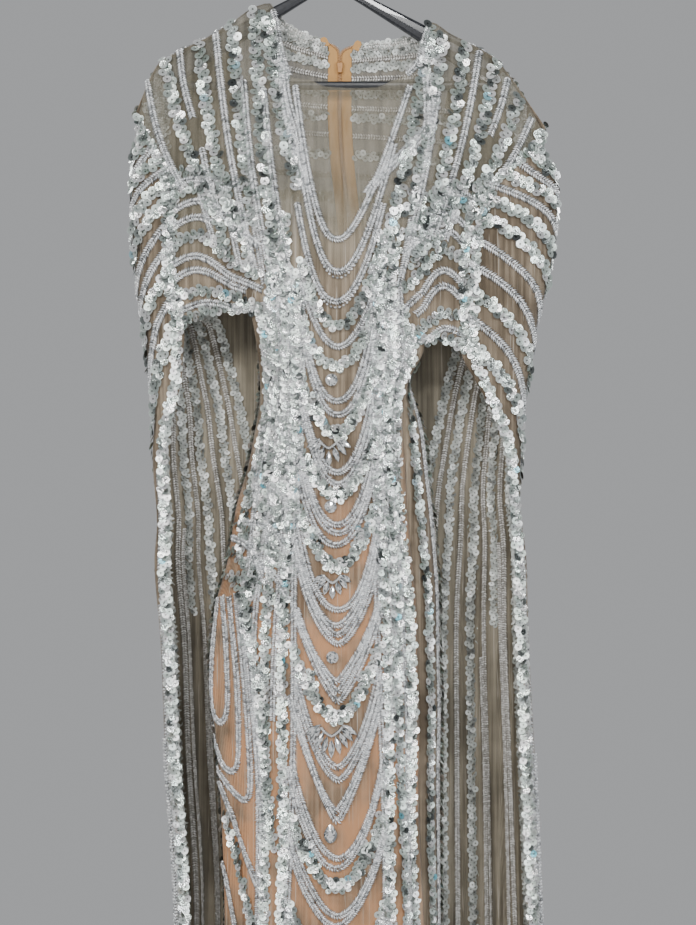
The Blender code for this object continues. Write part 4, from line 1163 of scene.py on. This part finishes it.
def share_from_zip(panel, level, gap):
    """The place across a back half that lies a few mm from its zip edge."""
    gaps = np.linalg.norm(np.diff(panel.grid, axis=1), axis=2)[:, ::-1]
    runs = np.cumsum(np.hstack((np.zeros((len(gaps), 1)), gaps)), axis=1)
    shares = [np.interp(gap * MM, run, panel.across[::-1]) for run in runs]
    return float(np.interp(level, panel.levels, shares))


# Levels of the back's rows, of which the first twelve show inside through the neck
BACK_ROWS = (0.05, 0.15, 0.26, 0.37, 0.48, 0.60, 0.74, 0.90, 1.07, 1.25, 1.62, 2.0, 2.4, 2.8, 3.2, 3.6, 4.0,
             4.4, 4.75)
ROWS_SEEN = 12


def back_cords(trim, panel):
    """Level rows down to the hip, and upright stripes below."""
    for k, level in enumerate(BACK_ROWS):
        kind = (B, S)[k % 2]
        end = share_from_zip(panel, level, 14 - 5 * zip_opening(level))
        laid = panel.at(np.linspace(0.06 if level > 0.9 else 0.42, end, 60), level)
        if k < ROWS_SEEN:
            trim.both_sides(kind, *laid, scale=0.85)
        else:
            trim.cord(kind, *laid)
    for k in range(7):
        level = np.linspace(4.9 if k % 2 else 5.02, 5.995, 150)
        h = 0.08 + 0.125 * k + 0.004 * np.sin(level * 11 + k)
        trim.cord((S, B)[k % 2], *panel.at(h, level))


# Large stones down the middle, at the same places as in the solids: name, across and drop,
# and for the fans the number of leaves and the reach too
ROUND_STONES = (("upper", 1, 510), ("middle", 0, 648), ("lower", 2, 811))
DROP_STONE = (0, 1001)
FANS = (("upper", -2, 574, 7, 38), ("middle", 2, 722, 7, 32), ("lower", 1, 884, 9, 44))
LEAF = ((0, 1), (0.6, 0.5), (0.86, 0), (0.6, -0.5), (0, -1), (-0.6, -0.5), (-0.86, 0), (-0.6, 0.5))


def gem(outline, depths, sizes, base, lean=0.0):
    """Rings of a cut stone above its base, closed by a flat table. Sizes are in mm."""
    verts, faces = [], []
    count = len(outline)
    c, s = math.cos(lean), math.sin(lean)
    for depth, size in zip(depths, sizes):
        for x, z in outline:
            x, z = x * size, z * size
            verts.append((base[0] + x * c + z * s, base[1] - depth, base[2] - x * s + z * c))
    for a in range(0, len(verts) - count, count):
        for i in range(count):
            j = (i + 1) % count
            faces.append((a + i, a + j, a + count + j))
            faces.append((a + i, a + count + j, a + count + i))
    faces.append(tuple(range(len(verts) - count, len(verts))))
    faces.append(tuple(reversed(range(count))))
    return verts, faces


def oval(count, wide, tall, taper=0.0):
    angles = [k * 2 * math.pi / count for k in range(count)]
    return [(math.sin(a) * wide * (1 - taper * max(0, math.cos(a))), math.cos(a) * tall) for a in angles]


def stone_object(name, parts, finish, node):
    verts, faces = [], []
    for part_verts, part_faces in parts:
        start = len(verts)
        verts += [(x * MM, y * MM, z * MM) for x, y, z in part_verts]
        faces += [tuple(start + i for i in face) for face in part_faces]
    dress(mesh_object(name, verts, faces, finish), node)


def seat(view, x, drop, reach):
    """Where a stone stands on the foremost place of the front under it."""
    points = view.lay([x, x + reach, x - reach, x, x], [drop, drop, drop, drop + reach, drop - reach])[0]
    return x, points[:, 1].min() / MM - 1.6, -drop


def fan_places(x, drop, reach, count, limit, near, swell=0.0):
    """Places on an arc below a fan's middle, each with its turn."""
    for k in range(count):
        turn = mix(-limit, limit, k / (count - 1))
        middle = 1 - abs(turn) / limit
        far = reach * (near + swell * middle)
        yield turn, x + math.sin(turn) * far, drop + math.cos(turn) * far * (0.62 + 0.38 * middle)


def make_stones(view, finish):
    table_cut = (0.97, 1.0, 0.66, 0.30)
    for name, x, drop in ROUND_STONES:
        base = seat(view, x, drop, 5.0)
        parts = [gem(oval(16, 6.6, 6.6), (0, 1.3, 2.5, 3.2), table_cut, base)]
        for k in range(8):
            turn = k * math.pi / 4 + 0.2
            spot = (x + math.sin(turn) * 6.4, base[1], -drop + math.cos(turn) * 6.4)
            parts.append(gem(oval(4, 0.8, 0.8), (0, 3.2), (1, 0.6), spot))
        stone_object("cut_stone_" + name, parts, finish, "round_stone_" + name)
    pear = gem(oval(16, 7.3, 10.3, taper=0.45), (0, 1.2, 2.6, 3.4), table_cut, seat(view, *DROP_STONE, 7.0))
    stone_object("cut_drop_stone", [pear], finish, "drop_stone")
    for name, x, drop, count, reach in FANS:
        parts = []
        outline = [(a * 4.1, b * reach * 0.235) for a, b in LEAF]
        for turn, px, pd in fan_places(x, drop, reach, count, 1.15, 0.49, 0.10):
            parts.append(gem(outline, (0, 1.0, 2.2, 3.0), (0.95, 1.0, 0.68, 0.25), seat(view, px, pd, 3.0),
                             lean=math.pi - turn * 0.85))
        for turn, px, pd in fan_places(x, drop, reach, 2 * count - 1, 1.1, 0.275):
            parts.append(gem(oval(8, 1.8, 1.8), (0, 0.8, 1.9), (1, 1, 0.5), seat(view, px, pd, 1.0)))
        stone_object("leaf_stones_" + name, parts, finish, "stone_fan_" + name)


# The zip's sizes in mm. Each tape shows less of its width where the zip lies open.
ZIP_END_LEVEL = 4.8
TAPE_WIDTH, TAPE_WIDTH_LOST = 12.5, 5.5
TAPE_THICK = 0.8
TAPE_BEHIND = 1.75
TAPE_END_LENGTH, TAPE_END_STEPS = 11, 8
TOOTH_STEP = 1.7
TOOTH_HALF = (1.5, 0.55, 0.6)
TOOTH_FACES = np.array([(0, 1, 3), (0, 3, 2), (4, 6, 7), (4, 7, 5), (0, 4, 5), (0, 5, 1), (2, 3, 7),
                        (2, 7, 6), (0, 2, 6), (0, 6, 4), (1, 5, 7), (1, 7, 3)])


def tape_end(side, panel, finish):
    """The top of one tape, standing up beyond the neck edge on its own side."""
    out = 1 if side == "right" else -1
    start = Vector(panel.at([0.55], [0.12])[0][0]) + Vector((0, -3.0, -4.0)) * MM
    along = Vector((0.42 * out, 0.10, 0.90)).normalized()
    across = Vector((0.90, 0, -0.42 * out))
    verts, faces = [], []
    for step in range(TAPE_END_STEPS + 1):
        t = step / TAPE_END_STEPS
        half = (4.0 - 1.9 * ease((t - 0.75) / 0.25)) * MM
        middle = start + along * (TAPE_END_LENGTH * t * MM)
        for edge in (-1, 1):
            for deep in (0.0, TAPE_THICK):
                verts.append(tuple(middle + across * half * edge + Vector((0, deep * MM, 0))))
    for a in range(0, TAPE_END_STEPS * 4, 4):
        faces += [(a + i, a + j, a + 4 + j, a + 4 + i) for i, j in ((0, 2), (2, 3), (3, 1), (1, 0))]
    faces += [(0, 1, 3, 2), (32, 34, 35, 33)]
    made = mesh_object(f"zip_{side}_tape_end", verts, faces, finish)
    weave_map(made.data, np.array(verts), faces, 0)
    return dress(made)


def make_zip(tape, coil, backs):
    teeth = Heap()
    x, y, z = TOOTH_HALF
    box = np.array([(a, b, c) for a in (-x, x) for b in (-y, y) for c in (-z, z)])
    levels = steps((0, 1, 40), (1, ZIP_END_LEVEL, 50))
    across = np.linspace(0, 1, 9)
    for side, back_panel in backs.items():
        rows = []
        for level in levels:
            start = share_from_zip(back_panel, level, TAPE_WIDTH - TAPE_WIDTH_LOST * zip_opening(level))
            places, normals = back_panel.at(np.linspace(start, 1.0, 9), level)
            rows.append(places - normals * TAPE_BEHIND * MM)
        panel = Panel(np.array(rows), levels, across, (60, 4), -1)
        made = cloth_object(f"zip_{side}_tape", panel, tape, TAPE_THICK)
        dress(made, f"zip_tape_{side}")
        tape_end(side, panel, tape)
        places, frames = resample(*panel.at(0.995, np.linspace(0.01, ZIP_END_LEVEL, 200)), TOOTH_STEP)
        teeth.put(box, TOOTH_FACES, places + beside(frames, 0.2 if side == "left" else -0.2, 0.5), frames)
    teeth.build("zip_coil", coil)


def hang_cloth(name, panel, finish, node):
    return dress(cloth_object(name + "_cloth", panel, finish), node)


def close_cloth(name, cloth, finish, trims, *edges):
    """Roll the cloth's edges, and add them to what is sewn to it."""
    trims.append(rolled_edge(name + "_edges", finish, *edges))


front_panel = make_front()
front_cloth = hang_cloth("front", front_panel, FRONT_NET, "gown_front")
view = FrontView(front_panel)
bodice, skirt = Trim(), Trim()
shoulder_rays(bodice, view)
inner_arches(bodice, front_panel)
neck_edge(bodice, front_panel)
swags(skirt, view)
hip_loops(skirt, view)
columns(skirt, view)
below = np.linspace(BODY_LEFT_F + 0.002, BODY_RIGHT_F - 0.002, 120)
close_cloth("front", front_cloth, FRONT_NET, bodice.build("bodice") + skirt.build("skirt"),
            front_panel.at(np.linspace(0.004, 0.996, 160), 0.0), front_panel.at(below, 6.0))

back_panels = {side: make_back(side) for side in ("left", "right")}
for side, panel in back_panels.items():
    name = "back_" + side
    cloth = hang_cloth(name, panel, BACK_NET, "gown_" + name)
    trim = Trim()
    back_cords(trim, panel)
    whole = np.linspace(0.004, 0.996, 90)
    close_cloth(name, cloth, BACK_NET, trim.build(name), panel.at(whole, 0.0), panel.at(whole, 6.0))

for side in ("left", "right"):
    name = "cape_" + side
    panel = make_cape(side)
    cloth = hang_cloth(name, panel, CAPE_NET, name)
    trim = Trim()
    cape_cords(trim, panel)
    close_cloth(name, cloth, CAPE_NET, trim.build(name), panel.at(1.998, np.linspace(1.0, 6.0, 260)),
                panel.at(np.linspace(0.004, 1.996, 140), 5.999),
                panel.at(0.002, np.linspace(ARCH_LEVEL, 6.0, 150)))

coil_finish = plain_finish("zip_coil", 300.0, 0.4, 0.0, (0.3, (0.40, 0.21, 0.09)), (0.7, (0.55, 0.31, 0.14)))
make_zip(tape_finish(), coil_finish, back_panels)
make_stones(view, cut_glass())
slider_finish = plain_finish("slider_paint", 400.0, 0.5, 0.2, (0.3, (0.42, 0.20, 0.07)),
                             (0.7, (0.52, 0.27, 0.10)))
hanger_finish = plain_finish("hanger_black", 240.0, 0.28, 0.3, (0.35, (0.010, 0.011, 0.014)),
                             (0.65, (0.020, 0.022, 0.027)))
for name, finish in (("zip_slider", slider_finish), ("hanger", hanger_finish),
                     ("hanger_hook", hanger_finish)):
    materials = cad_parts[name].data.materials
    materials.clear()
    materials.append(finish)
